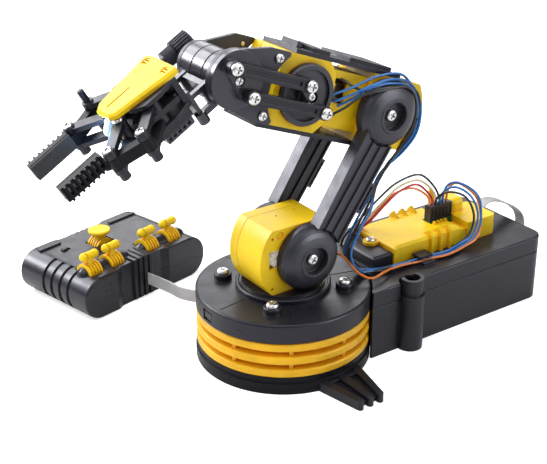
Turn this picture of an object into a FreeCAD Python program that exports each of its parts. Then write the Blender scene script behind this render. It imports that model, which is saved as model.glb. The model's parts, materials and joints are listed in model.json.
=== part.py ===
"""Desk-top robot arm kit: a geared-motor arm on a turntable, its battery box and its wired handset.

Units are millimetres. +Z is up and the ground is z = 0. The origin is on the ground, on the
turntable's axis. The arm reaches towards -X, the battery box lies towards +X, and every hinge of
the arm is parallel to Y. "Near" is the -Y side of the arm and "far" is the +Y side.
"""
import FreeCAD, Part
import math
import os

V = FreeCAD.Vector

# ---------------------------------------------------------------- driving dimensions
FIT = 0.05                      # radial clearance of a running fit
GAP = 0.4                       # clearance between faces that pass each other

# pose of the arm at rest
SHOULDER_X, SHOULDER_Z = 3.5, 67.5
ARM_LENGTH, ARM_LEAN = 92.0, 35.7            # upper arm, leaning back from the vertical
FOREARM_LENGTH, FOREARM_RISE = 108.0, 20.6   # forearm, rising towards the wrist
CRANK_AT = 58.8                              # crank axis, measured along the forearm
GRIPPER_DIP = 31.0                           # gripper, pointing below the horizontal

# base
PLATE_R, DECK_R, RING_R, RING_CORE_R = 51.8, 51.4, 51.2, 45.6
PLATE_TOP, HOUSING_TOP, DECK_TOP = 10.5, 32.5, 43.9
RING_BANDS = ((10.5, 15.2), (18.6, 23.4), (26.8, 31.9))
BASE_FLAT_X = 44.6              # the base is cut flat here for the battery box
WALL = 2.2
COLUMN_RADIUS = 36.0            # pitch radius of the four deck screws
DECK_SEAMS = (188, 241, 262, 345, 20, 100)   # fine radial grooves in the deck
NOTCH_ANGLE = 178.0             # latch in the deck's rim
TURN_R, TURN_HUB_R = 28.0, 12.0

# gearboxes
BOX_HALF_W, BOX_HALF_H = 15.5, 19.9
BULGE_R, BULGE_BACK = 28.6, 1.6
BOX_FLAT = 14.2                 # the flat end, opposite the bulge
BOX_WALL = 1.8
BAY_END = -39.8                 # where the forearm's motor bay meets the wrist gearbox
COVER_TOP = BOX_HALF_H + 2.4    # outer face of the forearm's cover strips
SEAM_Y, SEAM_GAP = 8.0, 0.3     # the two housing halves meet here, with a fine groove between them
SHAFT_R = 3.0
GEAR_TEETH, GEAR_R, TOOTH = 24, 12.0, 1.6       # output wheels: teeth, tip radius, tooth depth
GEAR_Y0, GEAR_Y1 = -13.2, -8.2
IDLER_TEETH, IDLER_R = 11, 5.8                  # small wheel in mesh with the shoulder's output wheel
IDLER_X, IDLER_Z = -16.6, 1.5
IDLER_TURN = 20.3                               # puts one of its gaps opposite an output wheel's tooth

# upper arms
ARM_IN, ARM_OUT = 21.5, 25.0    # distance of the arm plate's two faces from the mid-plane
ARM_WALL_IN = 16.4              # inner edge of the wall along the arm's front
HUB_R, HUB_IN, HUB_TOP = 19.5, 16.0, 26.5
ARM_SCREW_R = 3.6

# wrist linkage
DRUM_R, DRUM_HALF = 12.0, 15.1
FORK_IN, FORK_OUT = 15.5, 18.2
FORK_NEAR_R, FORK_FAR_R = 15.5, 12.0         # round eyes of the two fork plates
CRANK_DISC_R, CRANK_CUP_R, WRIST_DISC_R = 17.2, 14.2, 15.7
PIN_OFFSET, PIN_ANGLE = 9.75, 39.0           # each rod pin, from its axis and from the forearm line
PIN_R = 2.0
OPEN_PIVOT = 0.3                # radial clearance at each linkage's open pivot
ROD_IN, ROD_OUT, ROD_W = 23.7, 28.3, 6.4
PIN_SCREW_R, AXIS_SCREW_R = 3.5, 2.6
AXIS_SCREW_CRANK, AXIS_SCREW_WRIST = 21.4, 22.2  # how far out each disc's centre screw sits

# gripper, measured forward (g), sideways (y) and upward (n) from the wrist axis
LINK_G, LINK_Y = 16.5, 15.5                  # each link's run from its frame pin to its finger pin
FRONT_PIN, REAR_PIN = (58.5, 6.0), (41.5, 12.5)
LINK_LOW, LINK_HIGH, BAR = 6.0, 19.0, 2.8
POST_N = 1.6                                 # foot of each finger pin's post
COVER_N = 25.2                               # top of the gripper's cover
JAW_PIN_R, BOSS_R, JAW_SCREW_R = 1.6, 3.4, 2.9
CASE_Y, CASE_N = 10.5, -9.6                  # half width and underside of the gripper motor's case
KNOB_R, KNOB_Y, KNOB_N = 6.2, 27.0, 7.9      # ribbed knob beyond the far fork plate
JAW_TEETH, JAW_GEAR_R = 24, 13.0             # toothed sectors that make the two jaws move together
JAW_G0, JAW_G1, JAW_IN, JAW_OUT = 78.6, 104.0, 16.0, 19.2
JAW_PITCH, PAD_THICK = 3.2, 2.0

# battery box
BOX_X0, BOX_X1, BOX_Y = 45.0, 176.6, 40.0
TRAY_TOP, LID_TOP = 33.4, 43.4
HORN_X, SEAM_STEP = 35.5, 0.6
POST_X, POST_Y, POST_R, POST_BORE = 64.0, 41.0, 7.0, 4.6
CELL_R, CELL_L = 16.1, 60.0
TAB_X, TAB_Y, TAB_TOP, TAB_SCREW_R = 65.6, 0.5, 53.4, 2.9    # screwed tab of the board's cover

# handset, in its own frame: u along it, v across it, w up
WAIST_RIBS = (-10.2, -5.8, -1.4, 3.0)
PAD_END_R, PAD_ROOM_R, PAD_EDGE_R, GRIP_DEPTH = 13.6, 9.0, 1.2, 1.0
PAD_X, PAD_Y, PAD_TURN = -41.0, 136.0, 13.3
PAD_L, PAD_W, PAD_H, PAD_SEAM = 103.0, 66.0, 28.0, 13.0
LEVER_U, LEVER_V, LEVER_W = (-36.0, -18.3, 12.2, 31.2), -19.5, 26.5
LEVER_BAR_W, LEVER_BAR_HALF, LEVER_BAR_R = 38.2, 4.2, 2.9
DISC_U, DISC_V = -4.0, 8.5
DISC_TOP, DISC_R = 37.0, 7.4
DRUM_LEVER_R, DRUM_LEVER_HALF = 7.0, 5.0

# screws
SHANK = 0.42                    # each shank's radius as a share of its head's


# ---------------------------------------------------------------- small helpers
def box(x0, x1, y0, y1, z0, z1):
    """Box between two corners."""
    return Part.makeBox(x1 - x0, y1 - y0, z1 - z0, V(x0, y0, z0))


def cyl_z(x, y, z0, z1, r):
    return Part.makeCylinder(r, z1 - z0, V(x, y, z0), V(0, 0, 1))


def cyl_y(x, z, y0, y1, r):
    return Part.makeCylinder(r, y1 - y0, V(x, y0, z), V(0, 1, 0))


def cyl_x(y, z, x0, x1, r):
    return Part.makeCylinder(r, x1 - x0, V(x0, y, z), V(1, 0, 0))


def prism_y(points, y0, y1):
    """Polygon of (x, z) points, extruded along Y."""
    corners = [V(x, y0, z) for x, z in points]
    face = Part.Face(Part.makePolygon(corners + corners[:1]))
    return face.extrude(V(0, y1 - y0, 0))


def prism_z(points, z0, z1):
    """Polygon of (x, y) points, extruded along Z."""
    corners = [V(x, y, z0) for x, y in points]
    face = Part.Face(Part.makePolygon(corners + corners[:1]))
    return face.extrude(V(0, 0, z1 - z0))


def fuse(shapes):
    """One clean solid from several that touch or overlap."""
    joined = shapes[0]
    if len(shapes) > 1:
        joined = shapes[0].fuse(shapes[1:])
    return joined.removeSplitter()


def cut(shape, tools):
    return shape.cut(tools)


def turned(shape, angle, axis=V(0, 1, 0), about=V(0, 0, 0)):
    """A copy turned about an axis."""
    copy = shape.copy()
    copy.rotate(about, axis, angle)
    return copy


def moved(shape, x, y, z):
    copy = shape.copy()
    copy.translate(V(x, y, z))
    return copy


def mirrored(shape):
    """The same shape on the other side of the arm's mid-plane."""
    return shape.mirror(V(0, 0, 0), V(0, 1, 0))


def rounded(shape, radius, wanted):
    """Round the edges for which wanted(edge) is true."""
    edges = [edge for edge in shape.Edges if wanted(edge)]
    return shape.makeFillet(radius, edges)


def is_upright(edge):
    """A straight edge along Z."""
    a = edge.Vertexes[0].Point
    b = edge.Vertexes[-1].Point
    return abs(a.x - b.x) < 1e-6 and abs(a.y - b.y) < 1e-6 and abs(a.z - b.z) > 1e-6


def at_height(z):
    """A test for edges that lie flat at height z."""
    def wanted(edge):
        limits = edge.BoundBox
        return abs(limits.ZMin - z) < 1e-6 and abs(limits.ZMax - z) < 1e-6
    return wanted


def ring_y(profile):
    """Solid of revolution about Y from (radius, y) points."""
    corners = [V(r, y, 0) for r, y in profile]
    face = Part.Face(Part.makePolygon(corners + corners[:1]))
    return face.revolve(V(0, 0, 0), V(0, 1, 0), 360)


def gear_y(teeth, radius, depth, y0, y1, bore):
    """Spur gear about Y with straight-sided teeth."""
    step = 2 * math.pi / teeth
    points = []
    for i in range(teeth):
        for part, r in ((-0.30, radius - depth), (-0.15, radius), (0.15, radius), (0.30, radius - depth)):
            angle = (i + part) * step
            points.append((r * math.cos(angle), r * math.sin(angle)))
    return cut(prism_y(points, y0, y1), [cyl_y(0, 0, y0 - 1, y1 + 1, bore)])


def gear_z(teeth, radius, depth, z0, z1, bore):
    """The same gear about Z."""
    flat = gear_y(teeth, radius, depth, z0, z1, bore)
    return turned(flat, 90, V(1, 0, 0))


def screw(x, y, z, head_r, shank):
    """Pan-head screw with a cross recess: head up from z, shank down from it."""
    height = head_r * 0.6
    head = cyl_z(0, 0, 0, height, head_r)
    head = rounded(head, height * 0.7, at_height(height))
    slot = head_r * 0.55
    width = head_r * 0.12
    cross = [
        box(-slot, slot, -width, width, height * 0.5, height + 1),
        box(-width, width, -slot, slot, height * 0.5, height + 1),
    ]
    body = fuse([cut(head, cross), cyl_z(0, 0, -shank, 0, head_r * SHANK)])
    return moved(body, x, y, z)


def pilot_r(head_r):
    """Radius of the hole that takes a screw's shank."""
    return head_r * SHANK + 0.04


def side_screw(x, y, z, head_r, shank):
    """The same screw with its head facing away from the mid-plane on the side where y lies."""
    quarter = 90 if y < 0 else -90
    return moved(turned(screw(0, 0, 0, head_r, shank), quarter, V(1, 0, 0)), x, y, z)


def motor(length, radius):
    """Small can motor about Z: can, end boss and shaft, standing on z = 0."""
    can = cyl_z(0, 0, 0, length, radius)
    can = rounded(can, 1.2, at_height(length))
    boss = cyl_z(0, 0, length, length + 1.2, 3.0)
    shaft = cyl_z(0, 0, length + 1.2, length + 5.0, 1.0)
    return fuse([can, boss, shaft])


# ---------------------------------------------------------------- placing the assemblies
def point_along(x, z, length, angle):
    """The point at a distance from (x, z), at an angle above -X."""
    turn = math.radians(angle)
    return x - length * math.cos(turn), z + length * math.sin(turn)


ELBOW_X = SHOULDER_X + ARM_LENGTH * math.sin(math.radians(ARM_LEAN))
ELBOW_Z = SHOULDER_Z + ARM_LENGTH * math.cos(math.radians(ARM_LEAN))
WRIST_X, WRIST_Z = point_along(ELBOW_X, ELBOW_Z, FOREARM_LENGTH, FOREARM_RISE)


def place_shoulder(shape):
    return moved(shape, SHOULDER_X, 0, SHOULDER_Z)


def place_arm(shape):
    """Upper-arm parts are drawn upright, with the shoulder shaft at the origin."""
    return place_shoulder(turned(shape, ARM_LEAN))


def place_forearm(shape):
    """Forearm parts are drawn level, with the elbow shaft at the origin and the wrist at -X."""
    return moved(turned(shape, FOREARM_RISE), ELBOW_X, 0, ELBOW_Z)


def place_gripper(shape):
    """Gripper parts are drawn level, with the wrist axis at the origin and the jaws at -X."""
    return moved(turned(shape, -GRIPPER_DIP), WRIST_X, 0, WRIST_Z)


def place_handset(shape):
    return moved(turned(shape, PAD_TURN, V(0, 0, 1)), PAD_X, PAD_Y, 0)


def four_corners(radius):
    """Four points at 45 degrees, on a circle about the turntable's axis."""
    side = radius * math.sqrt(0.5)
    return [(side, side), (-side, side), (-side, -side), (side, -side)]


# ---------------------------------------------------------------- base
def base_flat_cut():
    """Everything of the base beyond the battery box's end wall."""
    return box(BASE_FLAT_X, 60, -60, 60, -1, HOUSING_TOP)


def base_plate():
    foot = cyl_z(0, 0, 0, 6.6, PLATE_R)
    upper = cyl_z(0, 0, 6.6, PLATE_TOP, PLATE_R - 0.8)
    hollow = cyl_z(0, 0, 2.5, PLATE_TOP + 1, PLATE_R - 3.4)
    shell = cut(fuse([foot, upper]), [hollow, base_flat_cut()])
    wall = cut(cyl_z(0, 0, 2.5, PLATE_TOP, PLATE_R - 3), [box(-60, BASE_FLAT_X - 2, -60, 60, 0, 20),
                                                         box(BASE_FLAT_X, 60, -60, 60, 0, 20)])
    bosses = [cyl_z(x, y, 2.5, PLATE_TOP, 4.2) for x, y in four_corners(COLUMN_RADIUS)]
    seat = cut(cyl_z(-26, 0, 2.5, 7, 12.4), [cyl_z(-26, 0, 4, 8, 10.3)])
    pilot = [cyl_z(x, y, 4, PLATE_TOP + 1, 1.3) for x, y in four_corners(COLUMN_RADIUS)]
    leg_slots = [box(-7, 15, low, low + 10, 2.5, 5.0) for low in (-56, 46)]
    return cut(fuse([shell, wall, seat] + bosses), pilot + leg_slots)


def ring_housing():
    core = cyl_z(0, 0, PLATE_TOP, HOUSING_TOP, RING_CORE_R)
    bands = []
    for low, high in RING_BANDS:
        band = rounded(cyl_z(0, 0, low, high, RING_R), 1.3, at_height(high))
        bands.append(rounded(band, 1.0, at_height(low)))
    hollow = cyl_z(0, 0, PLATE_TOP - 1, HOUSING_TOP + 1, RING_CORE_R - WALL)
    post = box(RING_CORE_R - 1, RING_R - 2.4, -1.2, 1.2, PLATE_TOP, HOUSING_TOP)
    posts = [turned(post, 200 + 40 * i, V(0, 0, 1)) for i in range(4)]
    return cut(fuse([core] + bands + posts), [hollow, box(BASE_FLAT_X - 1.5, 60, -60, 60, 0, 60)])


def base_deck():
    """Flat lid of the base: rimmed disc with its columns, screw bosses, turntable bore and latch."""
    disc = rounded(cyl_z(0, 0, HOUSING_TOP, DECK_TOP, DECK_R), 1.6, at_height(DECK_TOP))
    hollow = cyl_z(0, 0, HOUSING_TOP - 1, DECK_TOP - 2.5, DECK_R - 2.6)
    collar = cyl_z(0, 0, DECK_TOP - 5, DECK_TOP - 2.5, TURN_HUB_R + 3)
    columns = [cyl_z(x, y, PLATE_TOP, DECK_TOP - 2.5, 4.2) for x, y in four_corners(COLUMN_RADIUS)]
    bosses = [cyl_z(x, y, DECK_TOP, DECK_TOP + 3.6, 5.2) for x, y in four_corners(COLUMN_RADIUS)]
    bosses = [rounded(boss, 0.8, at_height(DECK_TOP + 3.6)) for boss in bosses]
    body = fuse([cut(disc, [hollow]), collar] + columns + bosses)
    bores = [cyl_z(x, y, 0, DECK_TOP + 9, 1.7) for x, y in four_corners(COLUMN_RADIUS)]
    notch = turned(box(DECK_R - 1.6, DECK_R + 2, -4.6, 4.6, 33.8, 40.5), NOTCH_ANGLE, V(0, 0, 1))
    seam = box(TURN_R + 1.5, DECK_R - 3, -0.35, 0.35, DECK_TOP - 0.5, DECK_TOP + 1)
    seams = [turned(seam, angle, V(0, 0, 1)) for angle in DECK_SEAMS]
    hub_hole = cyl_z(0, 0, 30, DECK_TOP + 1, TURN_HUB_R + FIT)
    latch = turned(box(DECK_R - 2.6, DECK_R - 0.5, -3.6, 3.6, 35.4, 38.9), NOTCH_ANGLE, V(0, 0, 1))
    tab = turned(box(DECK_R - 1, DECK_R + 0.35, -1.7, 1.7, 36.4, 37.6), NOTCH_ANGLE + 28, V(0, 0, 1))
    return fuse([cut(body, bores + [notch, hub_hole] + seams), latch, tab])


def stabiliser_leg():
    """Three tapering ribs with round ends on a thin web, reaching out beyond the base."""
    web = prism_z([(-10, -50.4), (19, -48.0), (12, -77), (-4, -77)], 0.4, 3.0)
    ribs = []
    for root_x, tip_x in ((-8.5, -3.5), (4.0, 3.5), (16.5, 10.5)):
        root_y = -math.sqrt(PLATE_R ** 2 - root_x ** 2) + 0.6
        outline = [(root_x - 2.6, root_y), (root_x + 2.6, root_y), (tip_x + 2.0, -78), (tip_x - 2.0, -78)]
        rib = prism_z(outline,
                      0, 5.6)
        ribs.append(rib)
        ribs.append(cyl_z(tip_x, -78, 0, 5.6, 2.0))
    outside = cut(fuse([web] + ribs), [cyl_z(0, 0, -1, 12, PLATE_R)])
    tongue = box(-7, 15, -54, -46, 2.5, 5.0)
    return fuse([outside, tongue])


def stabiliser_legs():
    near = stabiliser_leg()
    return Part.makeCompound([near, mirrored(near)])


def base_screws():
    height = DECK_TOP + 3.6
    deck = [screw(x, y, height, 3.6, 12) for x, y in four_corners(COLUMN_RADIUS)]
    cover = screw(TAB_X, TAB_Y, TAB_TOP, TAB_SCREW_R, 3.0)
    return Part.makeCompound(deck + [cover])


def yaw_motor():
    return moved(motor(24, 10.2), -26, 0, 4)


def turntable():
    plate = cyl_z(0, 0, DECK_TOP + 0.1, DECK_TOP + 2.3, TURN_R)
    lip = Part.makeTorus(TURN_R - 1.2, 1.2, V(0, 0, DECK_TOP + 1.6))
    pad = cyl_z(0, 0, DECK_TOP + 2.3, SHOULDER_Z - BOX_HALF_H, 24.6)
    hub = cyl_z(0, 0, 32.6, DECK_TOP + 0.1, TURN_HUB_R)
    gear = gear_z(36, 18.2, 1.8, 32.6, 38.4, TURN_HUB_R - 1)
    wire_hole = cyl_z(0, 0, 30, 60, 5)
    return cut(fuse([plate, lip, pad, hub, gear]), [wire_hole])


# ---------------------------------------------------------------- gearboxes
def gearbox_solid(inset, bulge):
    """Gearbox block about the shaft: level top and bottom, a round bulge at one end, a flat at the other.
    bulge is -1 when the bulge points to -X and +1 when it points to +X."""
    half_w, half_h = BOX_HALF_W - inset, BOX_HALF_H - inset
    slab = box(-40, BOX_FLAT - inset, -half_w, half_w, -half_h, half_h)
    round_end = cyl_y(-BULGE_BACK, 0, -half_w, half_w, BULGE_R - inset)
    square_end = box(-BULGE_BACK, BOX_FLAT - inset, -half_w, half_w, -half_h, half_h)
    block = slab.common(round_end.fuse(square_end)).removeSplitter()
    return block if bulge < 0 else turned(block, 180, V(0, 0, 1))


def housing_details(bulge):
    """Holes seen in a gearbox's near face, with the bulge at the given end."""
    face = -BOX_HALF_W
    window = sorted((bulge * 24.0, bulge * 16.0))
    holes = [
        cyl_y(bulge * 16.7, 16, face - 1, face + 0.9, 2.6),
        cyl_y(bulge * 21.8, 15.1, face - 1, face + 1.2, 0.8),
        cyl_y(bulge * 22.1, -15.9, face - 1, face + 1.2, 0.8),
        box(window[0], window[1], face - 1, face + BOX_WALL + 1, -3.5, 7.5),
    ]
    top = [cyl_z(x, y, BOX_HALF_H - 1, BOX_HALF_H + 1, 0.6) for x, y in ((-8, 1), (6, 3))]
    return holes + top


def gearbox_shell(bulge):
    """Hollow gearbox with its two shaft bosses."""
    shell = cut(gearbox_solid(0, bulge), [gearbox_solid(BOX_WALL, bulge)])
    boss_near = cyl_y(0, 0, -BOX_HALF_W, GEAR_Y0 - 0.2, 6)
    boss_far = cyl_y(0, 0, 13.0, BOX_HALF_W, 6)
    bore = cyl_y(0, 0, -20, 20, SHAFT_R + FIT)
    return cut(fuse([shell, boss_near, boss_far]), [bore])


def split_near(shape):
    return shape.common(box(-100, 100, -40, SEAM_Y, -60, 60))


def split_far(shape):
    return shape.common(box(-100, 100, SEAM_Y + SEAM_GAP, 40, -60, 60))


def shoulder_housing():
    return cut(gearbox_shell(-1), housing_details(-1))


def idler_post():
    """Fixed pin the pale idler wheel turns on, standing on the far half's wall."""
    return cyl_y(IDLER_X, IDLER_Z, GEAR_Y0 - 0.3, BOX_HALF_W - 1, 1.5)


def motor_bay():
    """Narrower part of the forearm, between the two gearboxes: it holds the elbow motor."""
    outer = box(BAY_END, -BOX_FLAT, -12, 12, -15.4, 16.4)
    inner = box(BAY_END, -BOX_FLAT - 0.001, -10.4, 10.4, -13.8, 14.8)
    window = box(-37.5, -28, -14, -9, -1.5, 12)
    return cut(outer, [inner, window])


def elbow_housing():
    shell = cut(gearbox_shell(1), housing_details(1))
    return fuse([shell, motor_bay()])


WRIST_BOX = ((BAY_END, -14.0), (BAY_END, 8.0), (-42.0, 15.5), (-47.0, BOX_HALF_H), (-77.0, BOX_HALF_H),
             (-79.3, 12.0), (-79.3, -12.0), (-76.7, -BOX_HALF_H), (-45.0, -BOX_HALF_H))


def wrist_housing():
    """Wrist gearbox: a box with cut corners around the crank shaft."""
    outer = prism_y(WRIST_BOX, -BOX_HALF_W, BOX_HALF_W)
    half = BOX_HALF_W - BOX_WALL
    inner = box(-77.4, -44.0, -half, half, -11.4, 11.4)
    inner = inner.fuse(box(-75.0, -48.5, -half, half, -18.1, 18.1))
    boss_near = cyl_y(-CRANK_AT, 0, -BOX_HALF_W, GEAR_Y0 - 0.2, 6)
    boss_far = cyl_y(-CRANK_AT, 0, 13.0, BOX_HALF_W, 6)
    bore = cyl_y(-CRANK_AT, 0, -20, 20, SHAFT_R + FIT)
    return cut(fuse([cut(outer, [inner]), boss_near, boss_far]), [bore])


def cross_motor(length, radius, x, z):
    """Motor lying across a gearbox, with its shaft to the near side."""
    return moved(turned(motor(length, radius), 90, V(1, 0, 0)), x, 12.8, z)


def shoulder_motor():
    return place_shoulder(cross_motor(15, 6.6, -14.5, 10.6))


def shoulder_idler():
    """Small pale wheel seen through the slot beside the shoulder hub."""
    wheel = gear_y(IDLER_TEETH, IDLER_R, TOOTH, GEAR_Y0, GEAR_Y1, 1.5 + FIT)
    return place_shoulder(moved(turned(wheel, IDLER_TURN), IDLER_X, 0, IDLER_Z))


def forearm_motors():
    elbow = moved(turned(motor(15, 9.0), 90, V(1, 0, 0)), -27, 10.2, 0)
    wrist = cross_motor(12, 7.4, -CRANK_AT - 9.5, 6.5)
    return place_forearm(Part.makeCompound([elbow, wrist]))


# ---------------------------------------------------------------- upper arms
def hub(height):
    """Domed hub on the near side, around a shaft at the given height, with a deep screw recess."""
    profile = [(0, -HUB_IN), (HUB_R, -HUB_IN), (HUB_R, -20.4), (19.1, -21.6), (18.0, -23.0),
               (16.2, -24.4), (13.8, -25.6), (11.0, -26.3), (9.9, -HUB_TOP), (9.7, -HUB_TOP - 0.6),
               (8.3, -HUB_TOP - 0.6), (7.9, -22.6), (0, -22.6)]
    dome = ring_y(profile)
    bore = cyl_y(0, 0, -23, -HUB_IN + 1, SHAFT_R)
    return moved(cut(dome, [bore]), 0, 0, height)


def arm_plate():
    """Long arm: a grooved plate, a deep wall along its front edge and a wire clip on its rear edge."""
    outline = [(-8.0, 8), (11.0, 8), (11.0, ARM_LENGTH - 8), (-11.5, ARM_LENGTH - 8)]
    front_wall = [(-8.3, 15), (-6.3, 15), (-9.2, ARM_LENGTH - 15), (-11.2, ARM_LENGTH - 15)]
    plate = prism_y(outline, -ARM_OUT, -ARM_IN)
    grooves = []
    for across in (-5.6, 1.0, 7.6):
        for y0, y1 in ((-ARM_OUT - 1, -ARM_OUT + 1.1), (-ARM_IN - 1.1, -ARM_IN + 1)):
            grooves.append(box(across - 2.2, across + 2.2, y0, y1, 15, ARM_LENGTH - 15))
    clip = cut(box(10.5, 13.6, -ARM_OUT, -ARM_IN, 35, 54), [box(11.4, 12.8, -30, -20, 37, 52)])
    return fuse([cut(plate, grooves), clip, prism_y(front_wall, -ARM_OUT + 0.4, -ARM_WALL_IN)])


def upper_arm_drawn():
    plate = arm_plate()
    rooms = [cyl_y(0, height, -40, 0, HUB_R - 1) for height in (0, ARM_LENGTH)]
    return fuse([cut(plate, rooms), hub(0), hub(ARM_LENGTH)])


def upper_arm_near():
    return place_arm(upper_arm_drawn())


def upper_arm_far():
    return place_arm(mirrored(upper_arm_drawn()))


def arm_shafts():
    lower = cyl_y(0, 0, -22.6, 22.6, SHAFT_R)
    upper = cyl_y(0, ARM_LENGTH, -22.6, 22.6, SHAFT_R)
    pilots = [cyl_y(0, z, y, y + 6, pilot_r(ARM_SCREW_R)) for z in (0, ARM_LENGTH) for y in (-22.7, 16.7)]
    return place_arm(Part.makeCompound([cut(lower, pilots), cut(upper, pilots)]))


def arm_gears():
    """The two output wheels, one on each shaft, just inside the gearboxes' near walls."""
    wheel = gear_y(GEAR_TEETH, GEAR_R, TOOTH, GEAR_Y0, GEAR_Y1, SHAFT_R)
    return place_arm(Part.makeCompound([wheel, moved(wheel, 0, 0, ARM_LENGTH)]))


def arm_screws():
    screws = [side_screw(0, y, z, ARM_SCREW_R, 5) for z in (0, ARM_LENGTH) for y in (-22.6, 22.6)]
    return place_arm(Part.makeCompound(screws))


# ---------------------------------------------------------------- forearm
def cover_strip(x0, x1, ribs):
    """Strip along the top of the forearm, from x0 to x1, with raised pads."""
    top = COVER_TOP
    strip = box(x0, x1, -BOX_HALF_W, BOX_HALF_W, BOX_HALF_H, top)
    pads = [box(a, b, -BOX_HALF_W + 2.5, BOX_HALF_W - 2.5, top, top + 2.4) for a, b in ribs]
    side = -BOX_HALF_W
    slots = [box(x, x + 1.0, side, side + 6, top + 1, top + 3) for x in (-22.5, -26.5, -30.5)]
    return cut(fuse([strip] + pads), slots)


def forearm_top_cover():
    clip_wall = box(-71, -69.4, -13, 1, COVER_TOP, COVER_TOP + 3.6)
    clip_rib = box(-71, -60, -1, 1, COVER_TOP, COVER_TOP + 3.0)
    clip_stud = cyl_z(-66, -7, COVER_TOP, COVER_TOP + 1.6, 2.6)
    clip = fuse([clip_wall, clip_rib, clip_stud])
    strip = cover_strip(-72, 5, ((-59, -47.4), (-32.7, -1)))
    return place_forearm(fuse([strip, clip]))


def forearm_bottom_cover():
    strip = cover_strip(-84, 5, ())
    return place_forearm(turned(strip, 180, V(1, 0, 0)))


def fork_plate(eye_r):
    """Side plate that carries the wrist: a round eye around the wrist axis and a tail on the gearbox."""
    wrist = -FOREARM_LENGTH
    outline = [(wrist, eye_r), (wrist + 18, BOX_HALF_H), (-77.3, BOX_HALF_H), (-76.5, 15.5),
               (-76.5, -16), (-78, -BOX_HALF_H), (wrist + 18, -BOX_HALF_H), (wrist, -eye_r)]
    tail = prism_y(outline, -FORK_OUT, -FORK_IN)
    eye = cyl_y(wrist, 0, -FORK_OUT, -FORK_IN, eye_r)
    crank_room = cyl_y(-CRANK_AT, 0, -30, 0, 25.4)
    hole = cyl_y(wrist, 0, -30, 0, 6 + FIT)
    groove = cut(cyl_y(wrist, 0, -FORK_OUT - 1, -FORK_OUT + 0.6, eye_r - 2.3),
                 [cyl_y(wrist, 0, -30, 0, eye_r - 3.3)])
    plate = cut(fuse([tail, eye]), [crank_room, hole, groove])
    return cut(plate, [cyl_y(-84, z, -30, 0, 1.5) for z in (15.4, -15.6)])


def fork_plates():
    plates = [fork_plate(FORK_NEAR_R), mirrored(fork_plate(FORK_FAR_R))]
    return place_forearm(Part.makeCompound(plates))


def forearm_screws():
    screws = [side_screw(-84, y, z, 2.7, 2.7) for z in (15.4, -15.6) for y in (-FORK_OUT, FORK_OUT)]
    return place_forearm(Part.makeCompound(screws))


# ---------------------------------------------------------------- wrist linkage
def pin_offsets():
    """The two rod pins about a linkage axis, in the forearm's drawing frame."""
    turn = math.radians(PIN_ANGLE)
    x, z = -PIN_OFFSET * math.cos(turn), PIN_OFFSET * math.sin(turn)
    return [(x, z), (-x, -z)]


def pin_bar(y0, y1):
    """Bar across a disc that joins the feet of both rod pins."""
    (x, z), _ = pin_offsets()
    side = math.radians(PIN_ANGLE)
    across = (3.6 * math.sin(side), 3.6 * math.cos(side))
    bar = prism_y([(x + across[0], z + across[1]), (-x + across[0], -z + across[1]),
                   (-x - across[0], -z - across[1]), (x - across[0], z - across[1])], y0, y1)
    feet = [cyl_y(px, pz, y0, y1, 3.6) for px, pz in pin_offsets()]
    return fuse([bar] + feet)


def linkage_pins(y_foot):
    """Both rod pins, each with a pilot hole for its screw."""
    pins = [cyl_y(x, z, -ROD_OUT - 0.3, y_foot, PIN_R) for x, z in pin_offsets()]
    pilots = [cyl_y(x, z, -ROD_OUT - 1, -ROD_OUT + 3, pilot_r(PIN_SCREW_R)) for x, z in pin_offsets()]
    return pins, pilots


def axis_screw_seat(out):
    """Flat and pilot hole for the screw at a disc's centre."""
    flat = cyl_y(0, 0, -ROD_OUT - 2, -out, AXIS_SCREW_R + 0.5)
    pilot = cyl_y(0, 0, -out - 1, -out + 3.2, pilot_r(AXIS_SCREW_R))
    return [flat, pilot]


def linkage_screws(out):
    """Screws of one linkage disc: one on each rod pin and one at the centre."""
    pins = [side_screw(x, -ROD_OUT - 0.35, z, PIN_SCREW_R, 2.6) for x, z in pin_offsets()]
    return pins + [side_screw(0, -out, 0, AXIS_SCREW_R, 3)]


def wrist_crank():
    """Disc outside the wrist gearbox with the two rod pins, moulded with its shaft and output wheel."""
    disc = rounded(cyl_y(0, 0, -19.3, -HUB_IN + 0.1, CRANK_DISC_R), 0.8,
                   lambda edge: edge.BoundBox.YMax < -19.29)
    recess = cyl_y(0, 0, -20, -17.6, CRANK_CUP_R)
    pins, pilots = linkage_pins(-19)
    body = fuse([cut(disc, [recess]), cyl_y(0, 0, -19.4, -17.0, 7), pin_bar(-ROD_IN + 0.3, -17.4)] + pins)
    shaft = cyl_y(0, 0, -17, 14.5, SHAFT_R)
    wheel = gear_y(GEAR_TEETH, GEAR_R, TOOTH, GEAR_Y0, -9.6, SHAFT_R - 0.5)
    whole = cut(fuse([body, shaft, wheel]), pilots + axis_screw_seat(AXIS_SCREW_CRANK))
    return place_forearm(moved(whole, -CRANK_AT, 0, 0))


def link_rod(index):
    """Rod from a crank pin to the matching pin at the wrist, with grooved sides."""
    x, z = pin_offsets()[index]
    length = FOREARM_LENGTH - CRANK_AT
    bar = box(-length, 0, -ROD_OUT, -ROD_IN, -ROD_W / 2, ROD_W / 2)
    eyes = [cyl_y(at, 0, -ROD_OUT, -ROD_IN, 3.9) for at in (-length, 0)]
    groove = box(-length + 6, -6, -ROD_OUT - 1, -ROD_OUT + 1, -1.3, 1.3)
    bores = [cyl_y(0, 0, -40, 0, PIN_R + FIT), cyl_y(-length, 0, -40, 0, PIN_R + OPEN_PIVOT)]
    rod = cut(fuse([bar] + eyes), [groove] + bores)
    return place_forearm(moved(rod, -CRANK_AT + x, 0, z))


def crank_screws():
    screws = linkage_screws(AXIS_SCREW_CRANK)
    return place_forearm(moved(Part.makeCompound(screws), -CRANK_AT, 0, 0))


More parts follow.
